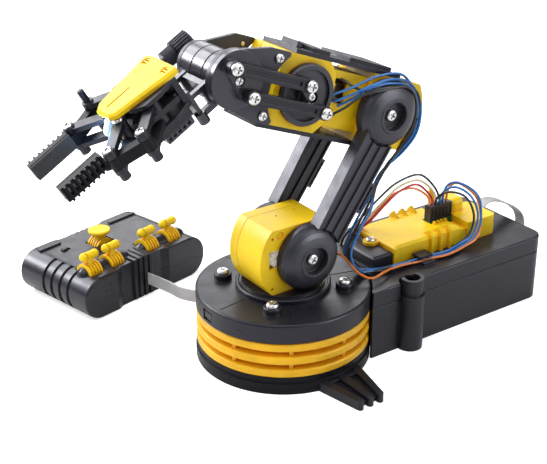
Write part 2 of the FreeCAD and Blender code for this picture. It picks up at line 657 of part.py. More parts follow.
# ---------------------------------------------------------------- wrist drum and gripper
def gbox(g0, g1, y0, y1, n0, n1):
    """Box in gripper measures: forward, sideways, upward."""
    return box(-g1, -g0, y0, y1, n0, n1)


def pin_n(g, y, n0, n1, r):
    """Upright cylinder in gripper measures."""
    return cyl_z(-g, y, n0, n1, r)


def bar_n(start, end, n0, n1, half):
    """Flat bar between two (g, y) points, square at its ends."""
    dg, dy = end[0] - start[0], end[1] - start[1]
    length = math.hypot(dg, dy)
    side = (-dy / length * half, dg / length * half)
    corners = [(start[0] + side[0], start[1] + side[1]), (end[0] + side[0], end[1] + side[1]),
               (end[0] - side[0], end[1] - side[1]), (start[0] - side[0], start[1] - side[1])]
    return prism_z([(-g, y) for g, y in corners], n0, n1)


def forearm_turn(shape):
    """From the forearm's drawing frame at the wrist to the gripper's drawing frame."""
    return turned(shape, FOREARM_RISE + GRIPPER_DIP)


def wrist_drum():
    """Barrel between the fork plates, its two trunnions, the linkage disc and the neck to the gripper."""
    barrel = cyl_y(0, 0, -DRUM_HALF, DRUM_HALF, DRUM_R)
    seams = [cut(cyl_y(0, 0, y - 0.4, y + 0.4, DRUM_R + 1), [cyl_y(0, 0, y - 1, y + 1, DRUM_R - 0.6)])
             for y in (-13.2, -6.0, 5.0)]
    trunnion = cyl_y(0, 0, -FORK_OUT - GAP, FORK_OUT + 1.6, 6)
    cap = cyl_y(0, 0, FORK_OUT + GAP, FORK_OUT + 2.4, 9)
    disc = cyl_y(0, 0, -21.8, -FORK_OUT - GAP, WRIST_DISC_R)
    pins, pilots = linkage_pins(-21)
    rod_end = forearm_turn(fuse([pin_bar(-ROD_IN + 0.3, -21)] + pins))
    holes = [forearm_turn(hole) for hole in pilots + axis_screw_seat(AXIS_SCREW_WRIST)]
    sides = [gbox(6, 24, y, y + 3, -9.5, 5.6) for y in (-12, 9)]
    windows = [gbox(16, 21.5, -13, 13, -6, 3)]
    feet = [pin_n(22.6, side * 10.5, -12.5, -6, 3.0) for side in (-1, 1)]
    cross = [gbox(22, 24, -12, 12, -9.5, 8.5), gbox(9, 14, -12, 12, -6, 5)]
    neck = [cut(fuse(sides + cross + feet), windows)]
    body = cut(barrel, seams)
    return place_gripper(cut(fuse([body, trunnion, cap, disc, rod_end] + neck), holes))


def wrist_screws():
    side = [forearm_turn(part) for part in linkage_screws(AXIS_SCREW_WRIST)]
    pin_g, pin_y = FRONT_PIN
    front = [screw(-pin_g, y, LINK_HIGH + GAP, JAW_SCREW_R, 3) for y in (-pin_y, pin_y)]
    return place_gripper(Part.makeCompound(side + front))


def gripper_frame():
    """Gripper chassis: floor, roof and rear wall around the jaw gears, with the four fixed link pins."""
    floor = prism_z([(-24, -13), (-24, 13), (-36, 17.5), (-46, 17.5), (-62, 10.5), (-62, -10.5),
                     (-46, -17.5), (-36, -17.5)], 2.4, 5.4)
    roof = prism_z([(-24, -13), (-24, 13), (-36, 17.0), (-46, 17.0), (-52, 11), (-52, -11),
                    (-46, -17.0), (-36, -17.0)], 19.6, 22.0)
    rear = gbox(24, 27.5, -13, 13, 2.4, 22.0)
    knob_ear = gbox(24, 27.5, 12, KNOB_Y + 3.5, KNOB_N - 3.5, KNOB_N + 3.5)
    skirt = [gbox(27, 50, y, y + 2, -1.5, 3) for y in (-15, 13)]
    pins = [pin_n(REAR_PIN[0], side * REAR_PIN[1], 5, 20, JAW_PIN_R) for side in (-1, 1)]
    pins += [pin_n(FRONT_PIN[0], side * FRONT_PIN[1], 5, LINK_HIGH + GAP, JAW_PIN_R) for side in (-1, 1)]
    rim = gbox(58, 62, -2.0, 2.0, 5, 9)
    pilots = [pin_n(FRONT_PIN[0], side * FRONT_PIN[1], LINK_HIGH - 3, LINK_HIGH + 1, pilot_r(JAW_SCREW_R))
              for side in (-1, 1)]
    return place_gripper(cut(fuse([floor, roof, rear, knob_ear, rim] + skirt + pins), pilots))


def gripper_cover():
    """Tapered plate over the gripper with a bevelled rim, a groove and four pairs of slots."""
    outline = [(-20.7, -15.5), (-20.7, 15.5), (-58.5, 9.5), (-62.0, 6.0), (-62.0, -6.0), (-58.5, -9.5)]
    plate = prism_z(outline, 22.0, COVER_N)
    plate = rounded(plate, 3.0, lambda edge: is_upright(edge) and edge.BoundBox.XMin > -30)
    plate = plate.makeChamfer(1.2, [edge for edge in plate.Edges if at_height(COVER_N)(edge)])
    groove = gbox(42.5, 57.5, 0.2, 1.1, COVER_N - 0.8, COVER_N + 1)
    dishes = [pin_n(25.6, side * 9.4, COVER_N - 0.4, COVER_N + 1, 2.6) for side in (-1, 1)]
    slots = [gbox(g, g + 0.8, side * 9.4 - 1.9, side * 9.4 + 1.9, COVER_N - 1.2, COVER_N + 1)
             for g in (24.3, 26.1) for side in (-1, 1)]
    return place_gripper(cut(plate, [groove] + dishes + slots))


def gripper_motor():
    """Gear case under the gripper with a slotted grille, its motor, and the ribbed knob beside the drum."""
    case = gbox(27, 45, -CASE_Y, CASE_Y, CASE_N, 2.4)
    case = rounded(case, 2.0, lambda edge: edge.BoundBox.ZMax < CASE_N + 0.01)
    can = cyl_x(0, CASE_N + 6.0, -52.0, -45.0, 5.4)
    case = fuse([case, can])
    grille = [gbox(29.2 + 3.2 * i, 31.0 + 3.2 * i, side - 1, side + 1, CASE_N + 2.4, 0.6)
              for i in range(5) for side in (-CASE_Y, CASE_Y)]
    large = turned(gear_y(22, KNOB_R, 0.9, -6.5, 4.5, 0.5), 90, V(0, 0, 1))
    small = turned(gear_y(26, KNOB_R - 1.2, 0.5, 5.0, 12.0, 0.5), 90, V(0, 0, 1))
    knob = moved(fuse([large, small, cyl_x(0, 0, -24.0, 4.0, 2.0)]), 0, KNOB_Y, KNOB_N)
    return place_gripper(Part.makeCompound([cut(case, grille), knob]))


def led_lamp():
    """Search-light lamp under the cover's tip, tilted down towards the work."""
    body = cyl_z(0, 0, 0, 6.0, 2.3)
    lens = Part.makeSphere(2.3, V(0, 0, 6.0))
    rim = cyl_z(0, 0, 0, 1.2, 2.6)
    lamp = fuse([body, lens, rim])
    lamp = turned(lamp, -150 + 12)
    return place_gripper(moved(lamp, -60.5, 0, 19.0))


def link_end(side, pin):
    """A link's (g, y) start and end points on one side of the gripper."""
    start = (pin[0], side * pin[1])
    return start, (start[0] + LINK_G, start[1] + side * LINK_Y)


def link_frame(side, pin, root_r):
    """What both kinds of link share: two flat bars, round ends, and the pin through the finger."""
    start, end = link_end(side, pin)
    parts = [pin_n(start[0], start[1], LINK_LOW, LINK_HIGH, root_r)]
    for low in (LINK_LOW, LINK_HIGH - BAR):
        parts.append(bar_n(start, end, low, low + BAR, 2.9))
        parts.append(pin_n(end[0], end[1], low, low + BAR, BOSS_R))
    parts.append(pin_n(end[0], end[1], LINK_LOW, LINK_HIGH, JAW_PIN_R))
    parts.append(pin_n(end[0], end[1], LINK_HIGH, LINK_HIGH + 1.0, 3.1))
    parts.append(pin_n(end[0], end[1], POST_N, LINK_LOW, 2.7))
    return parts


def frame_pin_bore(side, pin):
    return pin_n(pin[0], side * pin[1], 0, 30, JAW_PIN_R + FIT)


def front_link(side):
    frame = fuse(link_frame(side, FRONT_PIN, BOSS_R))
    return place_gripper(cut(frame, [frame_pin_bore(side, FRONT_PIN)]))


def jaw_sector(side):
    """Toothed sector round a rear link's frame pin, facing the other link's sector."""
    wheel = gear_z(JAW_TEETH, JAW_GEAR_R, 1.4, 10.4, 13.6, 2)
    if side > 0:
        wheel = turned(wheel, 180 / JAW_TEETH, V(0, 0, 1))
    reach = box(-20, 20, -20, 4, 0, 30) if side > 0 else box(-20, 20, -4, 20, 0, 30)
    return moved(wheel.common(reach), -REAR_PIN[0], side * REAR_PIN[1], 0)


def rear_link(side):
    parts = link_frame(side, REAR_PIN, 4.0) + [jaw_sector(side)]
    return place_gripper(cut(fuse(parts), [frame_pin_bore(side, REAR_PIN)]))


def finger_ribs(side, face):
    """The small ribs across a jaw's outer face."""
    tip = face + side * 1.8
    y0, y1 = min(face, tip), max(face, tip)
    starts = [JAW_G0 + 0.1 + JAW_PITCH * i for i in range(8)]
    return [gbox(g, g + 1.2, y0, y1, 11.0, 20.0) for g in starts]


def finger(side):
    """Finger: an arm across both link pins and a ladder-like jaw with ribs on its outer face."""
    _, rear = link_end(side, REAR_PIN)
    _, front = link_end(side, FRONT_PIN)
    low, high = LINK_LOW + BAR + 0.3, LINK_HIGH - BAR - 0.3
    inner, outer = side * JAW_IN, side * JAW_OUT
    y0, y1 = min(inner, outer), max(inner, outer)
    parts = [bar_n(rear, front, low, high, 2.6), gbox(JAW_G0, JAW_G1, y0, y1, 11.0, 20.0)]
    parts += [pin_n(g, y, low, high, BOSS_R) for g, y in (rear, front)]
    parts.append(prism_z([(-front[0] + 2, front[1] - side * 3), (-front[0] - 1, front[1] + side * 2),
                          (-JAW_G0 - 2, outer), (-JAW_G0 - 2, inner)], low + 1, high))
    starts = [JAW_G0 + 1.8 + JAW_PITCH * i for i in range(7)]
    windows = [gbox(g, g + 1.9, y0 - 1, y1 + 1, 13.4, 17.8) for g in starts]
    open_bore = pin_n(rear[0], rear[1], 0, 30, JAW_PIN_R + OPEN_PIVOT)
    bores = [open_bore, pin_n(front[0], front[1], 0, 30, JAW_PIN_R + FIT)]
    return place_gripper(cut(fuse(parts + finger_ribs(side, outer)), windows + bores))


def grip_pad(side):
    """Soft foam strip on a finger's inner face."""
    faces = sorted((side * (JAW_IN - PAD_THICK), side * JAW_IN))
    return place_gripper(gbox(JAW_G0, JAW_G1, faces[0], faces[1], 11.2, 19.8))


# ---------------------------------------------------------------- battery box
def beside_deck(z0, z1):
    """Round clearance that the battery box leaves for the deck's rim."""
    return cyl_z(0, 0, z0, z1, DECK_R + 0.8)


def box_block(z0, z1, inset):
    """Block of the battery box's plan, with round corners at the end away from the turntable."""
    block = box(BOX_X0 + inset, BOX_X1 - inset, -BOX_Y + inset, BOX_Y - inset, z0, z1)
    return rounded(block, 9.0 - inset, lambda edge: is_upright(edge) and edge.BoundBox.XMin > 100)


def box_horns(z0, z1, clear_r):
    """Corners of the box that reach past its end wall and close round the base."""
    horns = [box(HORN_X, BOX_X0 + 1, -BOX_Y, -26, z0, z1), box(HORN_X, BOX_X0 + 1, 26, BOX_Y, z0, z1)]
    return [cut(horn, [cyl_z(0, 0, z0 - 1, z1 + 1, clear_r)]) for horn in horns]


def corner_post(side):
    """Stepped hollow post beside the box, with a ledge inside for a fixing screw."""
    y = side * POST_Y
    outside = [cyl_z(POST_X, y, 0, 35.5, POST_R + 0.8), cyl_z(POST_X, y, 35.5, 38, POST_R - 0.7),
               cyl_z(POST_X, y, 38, 46, POST_R)]
    return outside


def post_bores(side):
    y = side * POST_Y
    return [cyl_z(POST_X, y, 26, 50, POST_BORE), cyl_z(POST_X, y, -1, 27, 2.2)]


def battery_tray():
    shell = cut(box_block(0, TRAY_TOP, 0), [box_block(WALL, TRAY_TOP + 1, WALL)])
    posts = corner_post(-1) + corner_post(1)
    inside = box_block(WALL, TRAY_TOP + 20, WALL)
    posts = [cut(post, [inside]) for post in posts]
    body = fuse([shell] + posts + box_horns(0, TRAY_TOP, PLATE_R + 0.6))
    kept = [box_block(0, TRAY_TOP + 2, SEAM_STEP)] + corner_post(-1) + corner_post(1)
    kept.append(box(0, BOX_X0 + 3, -BOX_Y + SEAM_STEP, BOX_Y - SEAM_STEP, 0, TRAY_TOP + 2))
    groove = cut(box(0, 200, -50, 50, TRAY_TOP - 1.0, TRAY_TOP + 1), kept)
    hatch = [box(61, 164, -33, 33, -1, 3), box(60, 165, -34, 34, -1, 1.2)]
    bores = post_bores(-1) + post_bores(1)
    return cut(body, hatch + bores + [beside_deck(HOUSING_TOP - 0.3, 60), groove])


def lid_clip():
    """Hook on the lid that holds the motor wires down, with a stop beside it."""
    post = box(84, 90, -21.6, -19.8, LID_TOP - 0.5, 48.2)
    hook = box(82, 92, -27.0, -19.8, 46.9, 48.2)
    stop = box(82, 91, -31.0, -28.6, LID_TOP - 0.5, 45.6)
    return [post, hook, stop]


def battery_lid():
    top = rounded(box_block(TRAY_TOP, LID_TOP, 0), 1.0, at_height(LID_TOP))
    hollow = box_block(TRAY_TOP - 1, LID_TOP - 2.4, WALL)
    hollow = hollow.fuse(box(40, 60, -BOX_Y + WALL, BOX_Y - WALL, 30, LID_TOP - 2.4))
    front_block = prism_z([(53.5, -17), (69, -17), (69, 17), (60, 17), (53.5, 6)], LID_TOP - 1, 51.5)
    front_block = front_block.makeChamfer(1.2, [e for e in front_block.Edges if at_height(51.5)(e)])
    front_room = box(55.5, 67, -15, 4, LID_TOP - 3, 49.7)
    standoffs = [cyl_z(x, y, LID_TOP - 1, 45.4, 2) for x in (78, 144) for y in (-12, 12)]
    horns = box_horns(TRAY_TOP, LID_TOP, DECK_R + 0.8)
    body = fuse([cut(top, [hollow]), front_block] + standoffs + lid_clip() + horns)
    rooms = [cyl_z(POST_X, side * POST_Y, 30, 60, POST_R + 0.9 + 0.1) for side in (-1, 1)]
    return cut(body, rooms + [beside_deck(20, 60), front_room, tab_bore()])


def battery_door():
    """Hatch under the box, with cradle ribs for the cells."""
    plate = box(60.2, 164.8, -33.8, 33.8, 0.2, 1.2)
    ribs = [box(x, x + 1.6, y - 6, y + 6, 1.2, 2.3) for x in (70, 100, 125, 155) for y in (-17, 17)]
    return fuse([plate] + ribs)


def battery_cell(x, y):
    """One large round cell: body, crimped shoulder and end button, along X."""
    centre = 2.3 + CELL_R
    body = rounded(cyl_x(y, centre, x, x + CELL_L - 1.6, CELL_R), 1.2, lambda edge: edge.Length > 90)
    return fuse([body, cyl_x(y, centre, x + CELL_L - 1.6, x + CELL_L, 5.0)])


def batteries():
    cells = [battery_cell(51.2 + CELL_L * i, y) for i in range(2) for y in (-17, 17)]
    return Part.makeCompound(cells)


# ---------------------------------------------------------------- control board
PLUG_X, PLUG_PITCH, PLUG_Y0, PLUG_Y1 = 110.3, 3.0, -3.6, 2.0
COVER_BOX_TOP = 55.0


def controller_board():
    board = box(74, 148, -15, 15, 45.4, 46.8)
    header = box(PLUG_X, PLUG_X + 6 * PLUG_PITCH, PLUG_Y0, PLUG_Y1, 46.8, 55.4)
    spots = ((84, 94, -8, 6), (98, 106, -9, 3), (132, 140, 4, 12))
    chips = [box(x0, x1, y0, y1, 46.8, 47.9) for x0, x1, y0, y1 in spots]
    return fuse([board, header] + chips)


def side_ribs(x):
    """The pair of peaked ribs that wrap the cover's two sides at x."""
    outline = [(-20.6, LID_TOP), (-17.5, LID_TOP), (-17.5, 53), (-11.5, COVER_BOX_TOP - 0.5),
               (-17.6, 58.6), (-20.6, 55.5)]
    rib = moved(turned(prism_y(outline, -1.9, 0), 90, V(0, 0, 1)), x, 0, 0)
    return [rib, mirrored(rib)]


def tab_bore():
    return cyl_z(TAB_X, TAB_Y, TAB_TOP - 4, TAB_TOP + 1, pilot_r(TAB_SCREW_R))


def board_cover():
    """Yellow cover over the control board: tab, ribbed sides, plug opening, fin, dome and end cap."""
    body = box(69, 123, -18.5, 18.5, LID_TOP, COVER_BOX_TOP)
    body = body.makeChamfer(1.4, [edge for edge in body.Edges if at_height(COVER_BOX_TOP)(edge)])
    rear = box(123, 151.5, -18.5, 18.5, LID_TOP, 50.5)
    cap = box(128, 152.0, -19.8, 6, LID_TOP, 56.5)
    cap = cap.makeChamfer(2.2, [e for e in cap.Edges if is_upright(e) and e.BoundBox.XMin > 150])
    dome = rounded(box(129, 140.5, -3, 12, 48, 65.0), 4.0, is_upright)
    dome = rounded(dome, 3.0, at_height(65.0))
    fin = prism_y([(125.8, 50), (136, 50), (127.6, 67.5), (125.8, 67.5)], 14.2, 16.2)
    cheek = prism_z([(117, -18.5), (128, -18.5), (128, -6), (121, -6)], LID_TOP, 52.5)
    ribs = [part for i in range(3) for part in side_ribs(97.2 + 7.4 * i)]
    tab = cyl_z(TAB_X, TAB_Y, 51.5, TAB_TOP, 4.6).fuse(box(TAB_X, 70, -4, 5, 51.5, TAB_TOP))
    comb = [box(PLUG_X + 0.6 + i * 3.0, PLUG_X + 1.8 + i * 3.0, -7.4, -5.4, 54.5, 56.6) for i in range(4)]
    floor = LID_TOP - 1
    rooms = [box(70.6, 121.4, -16.9, 16.9, floor, 53.4), box(71, 149.9, -16.9, 16.9, floor, 48.9),
             box(129.6, 150, -18.2, 4.4, floor, 54.9), box(130.6, 138.9, -1.4, 10.4, 45, 62.4),
             box(109.6, 128.9, -5.4, 3.2, 45, 60), tab_bore()]
    shell = fuse([body, rear, cap, dome, fin, cheek, tab] + ribs + comb)
    return cut(shell, rooms)


def wire_plugs():
    """Row of six plugs standing in the cover's opening."""
    plugs = []
    for i in range(6):
        x = PLUG_X + i * PLUG_PITCH
        plug = box(x + 0.1, x + PLUG_PITCH - 0.1, PLUG_Y0, PLUG_Y1, 55.4, 65.5)
        plug = cut(plug, [box(x + 0.8, x + PLUG_PITCH - 0.8, PLUG_Y0 - 1, PLUG_Y0 + 0.6, 57, 63)])
        plugs.append(plug)
    return Part.makeCompound(plugs)


# ---------------------------------------------------------------- cables
def strip_bar(start, end, z0, z1, half):
    """Upright strip between two (x, y) points with round ends."""
    dx, dy = end[0] - start[0], end[1] - start[1]
    length = math.hypot(dx, dy)
    side = (-dy / length * half, dx / length * half)
    corners = [(start[0] + side[0], start[1] + side[1]), (end[0] + side[0], end[1] + side[1]),
               (end[0] - side[0], end[1] - side[1]), (start[0] - side[0], start[1] - side[1])]
    return [prism_z(corners, z0, z1), cyl_z(end[0], end[1], z0, z1, half)]


def handset_ribbon():
    """Flat cable from the handset, on edge round the far side of the base and box, then over the lid."""
    path = [(-32.6, 103.9), (-30, 92), (-24, 78), (-12, 64), (10, 57.5), (32, 55), (48, 53),
            (64, 51.8), (78, 46), (92, 41.6), (168, 41.4), (177, 39.0), (180.6, 33), (181, 2)]
    parts = []
    for start, end in zip(path, path[1:]):
        parts += strip_bar(start, end, 7.0, 15.0, 0.5)
    rise = [(181, 7), (186, 14), (190, 25), (191, 36), (187, 44.5), (180, 50.5), (172, 55),
            (164, 57.5), (157, 56), (152.6, 50)]
    for start, end in zip(rise, rise[1:]):
        flat = strip_bar(start, end, -3.0, 7.5, 0.5)
        parts += [turned(part, 90, V(1, 0, 0)) for part in flat]
    return fuse(parts)


def tube(points, radius):
    """Round cable through points."""
    curve = Part.BSplineCurve()
    curve.interpolate([V(*point) for point in points])
    spine = Part.Wire([curve.toShape()])
    start = curve.tangent(0)[0]
    ring = Part.Wire([Part.makeCircle(radius, V(*points[0]), start)])
    return spine.makePipeShell([ring], True, True)


def motor_looms():
    """Bundle of motor wires: from the plugs, in a loop over the cover and under the lid's hook."""
    loop = [(115, -0.8, 66.2), (116, -3, 76), (124, -12, 84), (134, -22, 78), (133, -27.5, 62),
            (118, -26.5, 50), (102, -24.8, 46.4), (87, -24.4, 45.2), (70, -23.5, 45.6), (56, -23.5, 46.0)]
    return tube(loop, 1.3)


# ---------------------------------------------------------------- handset
def handset_form(inset):
    """Flat-sided block of the handset with fully round ends, smaller all round by the inset."""
    half_l, half_w = PAD_L / 2 - inset, PAD_W / 2 - inset
    block = box(-half_l, half_l, -half_w, half_w, inset, PAD_H - inset)
    block = rounded(block, PAD_END_R - inset, lambda edge: edge.BoundBox.YLength > 60)
    return rounded(block, PAD_EDGE_R, lambda edge: edge.BoundBox.YLength < 0.001)


def handset_block():
    """Outer form of the handset: round ends, narrow waist, ribbed waist and left-hand grip."""
    half_l, half_w = PAD_L / 2, PAD_W / 2
    profile = [(-27, half_w + 1), (-24, half_w - 0.6), (-20, half_w - 2.6), (14, half_w - 2.6),
               (18, half_w - 0.6), (21, half_w + 1)]
    waist = [prism_z([(u, side * v) for u, v in profile], -1, PAD_H + 1) for side in (-1, 1)]
    block = cut(handset_form(0), waist)
    near_ribs = [box(u, u + 2.4, -half_w + 1.0, -half_w + 3.0, 1, PAD_H - 0.6) for u in WAIST_RIBS]
    far_ribs = [box(u, u + 2.4, half_w - 3.0, half_w - 1.0, 1, PAD_H - 0.6) for u in WAIST_RIBS]
    top_ribs = [box(u, u + 2.4, 1.0 - half_w, 17 - half_w, PAD_H - 1.5, PAD_H + 1.0) for u in WAIST_RIBS]
    lip_spans = ((-41, -24), (18, 41))
    lips = [box(u0, u1, half_w - 9, half_w - 6.5, PAD_H - 1, PAD_H + 1.2) for u0, u1 in lip_spans]
    grip_bands = [box(-half_l - 1, -half_l + 12, v, v + 3.4, 3, PAD_H + 1) for v in (-17, -9, -1, 7)]
    grip = [cut(band, [handset_form(GRIP_DEPTH)]) for band in grip_bands]
    return cut(fuse([block] + near_ribs + far_ribs + top_ribs + lips), grip)


def handset_room():
    """Hollow inside the handset, round-ended like its outside."""
    room = box(-PAD_L / 2 + 5, PAD_L / 2 - 5, -PAD_W / 2 + 5, PAD_W / 2 - 5, 2.4, PAD_H - 2.4)
    return rounded(room, PAD_ROOM_R, lambda edge: edge.BoundBox.YLength > 50)


def handset_bottom():
    shell = cut(handset_block(), [handset_room(), box(-60, 60, -40, 40, PAD_SEAM, 40)])
    return place_handset(shell)


def lever_ridge(u0, u1):
    """Half-round ridge with ball ends that holds two levers' pins."""
    return [cyl_x(LEVER_V, PAD_H - 2, u0, u1, 5.6), Part.makeSphere(5.6, V(u0, LEVER_V, PAD_H - 2)),
            Part.makeSphere(5.6, V(u1, LEVER_V, PAD_H - 2))]


def handset_top():
    shell = cut(handset_block(), [handset_room(), box(-60, 60, -40, 40, -1, PAD_SEAM)])
    ridges = lever_ridge(-39.5, -9.5) + lever_ridge(8.5, 38.5)
    block = box(DISC_U - 11, DISC_U + 11, DISC_V - 9, DISC_V + 9, 20, PAD_H)
    slots = []
    for u in LEVER_U:
        reach = DRUM_LEVER_HALF + 0.3
        slots.append(box(u - reach, u + reach, LEVER_V - 8.3, LEVER_V + 8.3, 17, 40))
        slots.append(cyl_x(LEVER_V, LEVER_W, u - 8, u + 8, 1.5 + FIT))
    slots.append(box(DISC_U - 8.3, DISC_U + 8.3, DISC_V - 5.3, DISC_V + 5.3, 17, 40))
    slots.append(cyl_y(DISC_U, 24.5, DISC_V - 8, DISC_V + 8, 1.5 + FIT))
    slots.append(box(-30.4, -24.0, 13.4, 16.6, 20, 40))
    return place_handset(cut(fuse([shell, block] + ridges), slots))


def lever_drum(height):
    """Ribbed drum with its two pins, along X at the given height."""
    drum = cyl_x(0, height, -DRUM_LEVER_HALF, DRUM_LEVER_HALF, DRUM_LEVER_R)
    core = cyl_x(0, height, -20, 20, DRUM_LEVER_R - 0.9)
    rings = [cut(cyl_x(0, height, x, x + 1.0, DRUM_LEVER_R + 1), [core])
             for x in (-3.7, -1.6, 0.6, 2.7)]
    pin = cyl_x(0, height, -7.4, 7.4, 1.5)
    return cut(drum, rings).fuse(pin)


def tee_lever(index):
    """Yellow lever: ribbed drum, waisted stem and a round cross-bar along the handset."""
    stem = Part.makeCone(3.1, 2.2, LEVER_BAR_W - LEVER_W - 4, V(0, 0, LEVER_W + 4))
    bar = cyl_x(0, LEVER_BAR_W, -LEVER_BAR_HALF, LEVER_BAR_HALF, LEVER_BAR_R - 0.3)
    spots = [V(x, 0, LEVER_BAR_W) for x in (-LEVER_BAR_HALF, LEVER_BAR_HALF)]
    ends = [Part.makeSphere(LEVER_BAR_R, spot) for spot in spots]
    lever = fuse([lever_drum(LEVER_W), stem, bar] + ends)
    return place_handset(moved(lever, LEVER_U[index], LEVER_V, 0))


def disc_lever():
    """Flat round-topped lever for turning the base, rocking along the handset."""
    stem = Part.makeCone(4.2, 3.0, 6, V(0, 0, 29))
    cap = rounded(cyl_z(0, 0, DISC_TOP - 2.6, DISC_TOP, DISC_R), 1.1, lambda edge: edge.Length > 40)
    lever = fuse([turned(lever_drum(24.5), 90, V(0, 0, 1)), stem, cap])
    return place_handset(moved(lever, DISC_U, DISC_V, 0))


def light_switch():
    """Small slider that turns the gripper's lamp on."""
    foot = box(-32.5, -24.6, 12.4, 17.6, 24.0, PAD_H - 2.5)
    key = box(-30.2, -26.8, 13.6, 16.4, PAD_H - 2.5, PAD_H + 1.2)
    return place_handset(fuse([foot, key]))


# ---------------------------------------------------------------- all parts
def all_parts():
    """Every node by name."""
    shoulder = shoulder_housing()
    elbow = elbow_housing()
    wrist = wrist_housing()
    parts = {
        "base_plate": base_plate(),
        "ring_housing": ring_housing(),
        "base_deck": base_deck(),
        "stabiliser_legs": stabiliser_legs(),
        "base_screws": base_screws(),
        "yaw_motor": yaw_motor(),
        "turntable": turntable(),
        "shoulder_housing_near": place_shoulder(split_near(shoulder)),
        "shoulder_housing_far": place_shoulder(fuse([split_far(shoulder), idler_post()])),
        "shoulder_motor": shoulder_motor(),
        "shoulder_idler": shoulder_idler(),
        "upper_arm_near": upper_arm_near(),
        "upper_arm_far": upper_arm_far(),
        "arm_shafts": arm_shafts(),
        "arm_gears": arm_gears(),
        "arm_screws": arm_screws(),
        "elbow_housing_near": place_forearm(split_near(elbow)),
        "elbow_housing_far": place_forearm(split_far(elbow)),
        "wrist_housing_near": place_forearm(split_near(wrist)),
        "wrist_housing_far": place_forearm(split_far(wrist)),
        "forearm_motors": forearm_motors(),
        "forearm_top_cover": forearm_top_cover(),
        "forearm_bottom_cover": forearm_bottom_cover(),
        "fork_plates": fork_plates(),
        "forearm_screws": forearm_screws(),
        "wrist_crank": wrist_crank(),
        "crank_screws": crank_screws(),
        "link_rod_upper": link_rod(0),
        "link_rod_lower": link_rod(1),
        "wrist_drum": wrist_drum(),
        "wrist_screws": wrist_screws(),
        "gripper_frame": gripper_frame(),
        "gripper_cover": gripper_cover(),
        "gripper_motor": gripper_motor(),
        "led_lamp": led_lamp(),
        "battery_tray": battery_tray(),
        "battery_lid": battery_lid(),
        "battery_door": battery_door(),
        "batteries": batteries(),
        "controller_board": controller_board(),
        "board_cover": board_cover(),
        "wire_plugs": wire_plugs(),
        "handset_ribbon": handset_ribbon(),
        "motor_looms": motor_looms(),
        "handset_bottom": handset_bottom(),
        "handset_top": handset_top(),
        "disc_lever": disc_lever(),
        "light_switch": light_switch(),
    }
    for index, letter in enumerate("abcd"):
        parts["tee_lever_" + letter] = tee_lever(index)
    for name, side in (("near", -1), ("far", 1)):
        parts["front_link_" + name] = front_link(side)
        parts["rear_link_" + name] = rear_link(side)
        parts["finger_" + name] = finger(side)
        parts["grip_pad_" + name] = grip_pad(side)
    return parts


os.makedirs("parts", exist_ok=True)
for node, shape in all_parts().items():
    shape.exportStep("parts/" + node + ".step")
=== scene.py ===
"""Looks of the desk-top robot arm kit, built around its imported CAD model. Units are metres."""
import json
import math
import random

import bpy
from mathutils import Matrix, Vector


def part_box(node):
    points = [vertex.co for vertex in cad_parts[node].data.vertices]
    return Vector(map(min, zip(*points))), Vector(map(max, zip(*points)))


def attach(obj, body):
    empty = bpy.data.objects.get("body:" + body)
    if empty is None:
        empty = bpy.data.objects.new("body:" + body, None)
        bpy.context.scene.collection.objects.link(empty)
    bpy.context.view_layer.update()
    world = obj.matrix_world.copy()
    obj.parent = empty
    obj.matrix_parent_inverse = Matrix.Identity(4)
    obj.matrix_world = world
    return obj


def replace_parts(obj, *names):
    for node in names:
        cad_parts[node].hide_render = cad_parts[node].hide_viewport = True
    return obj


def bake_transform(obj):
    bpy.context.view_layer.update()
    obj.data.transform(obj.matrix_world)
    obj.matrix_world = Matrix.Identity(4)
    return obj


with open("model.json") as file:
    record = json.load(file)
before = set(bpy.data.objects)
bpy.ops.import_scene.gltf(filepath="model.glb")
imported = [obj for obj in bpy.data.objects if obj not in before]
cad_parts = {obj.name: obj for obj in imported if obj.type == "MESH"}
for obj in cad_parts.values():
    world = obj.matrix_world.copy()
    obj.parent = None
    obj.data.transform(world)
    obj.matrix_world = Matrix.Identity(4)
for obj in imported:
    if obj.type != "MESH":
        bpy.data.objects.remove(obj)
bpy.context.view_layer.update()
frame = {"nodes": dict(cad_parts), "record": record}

NODES = frame["nodes"]
JOINTS = {joint["name"]: joint for joint in frame["record"]["behaviour"]["joints"]}
MM = 0.001
random.seed(7)

# ---------------------------------------------------------------- colours (linear)
BLACK = (0.0105, 0.0108, 0.0155)
ARM_BLACK = (0.019, 0.019, 0.027)
GLOSS_BLACK = (0.022, 0.022, 0.031)
PLATE_BLACK = (0.005, 0.005, 0.007)
JACKET_BLACK = (0.03, 0.03, 0.035)
YELLOW = (0.88, 0.585, 0.004)
# painted shade: the ring housing's yellow, darker and more orange than the rest
SHADED_RING_YELLOW = (0.84, 0.46, 0.010)
SHADED_RECESS_YELLOW = (0.78, 0.31, 0.002)       # painted shade: yellow plastic deep in a recess, darker and more orange where light bounces inside it
STEEL = (0.72, 0.72, 0.73)
FOAM = (0.018, 0.018, 0.02)
BACKING_DULL, BACKING_PALE = (0.55, 0.56, 0.62), (0.72, 0.73, 0.78)
RIBBON = (0.52, 0.52, 0.54)
NYLON = (0.80, 0.78, 0.70)
LENS = (0.8, 0.93, 1.0)
LENS_GLOW = (0.24, 0.55, 1.0)
BOARD_DARK, BOARD_LIGHT = (0.01, 0.12, 0.04), (0.02, 0.2, 0.07)
FLOOR = (0.93, 0.93, 0.93)
WHITE = (1.0, 1.0, 1.0)
COOL, WARM = (0.88, 0.88, 1.0), (1.0, 0.93, 0.70)     # tints of the plastics' highlights


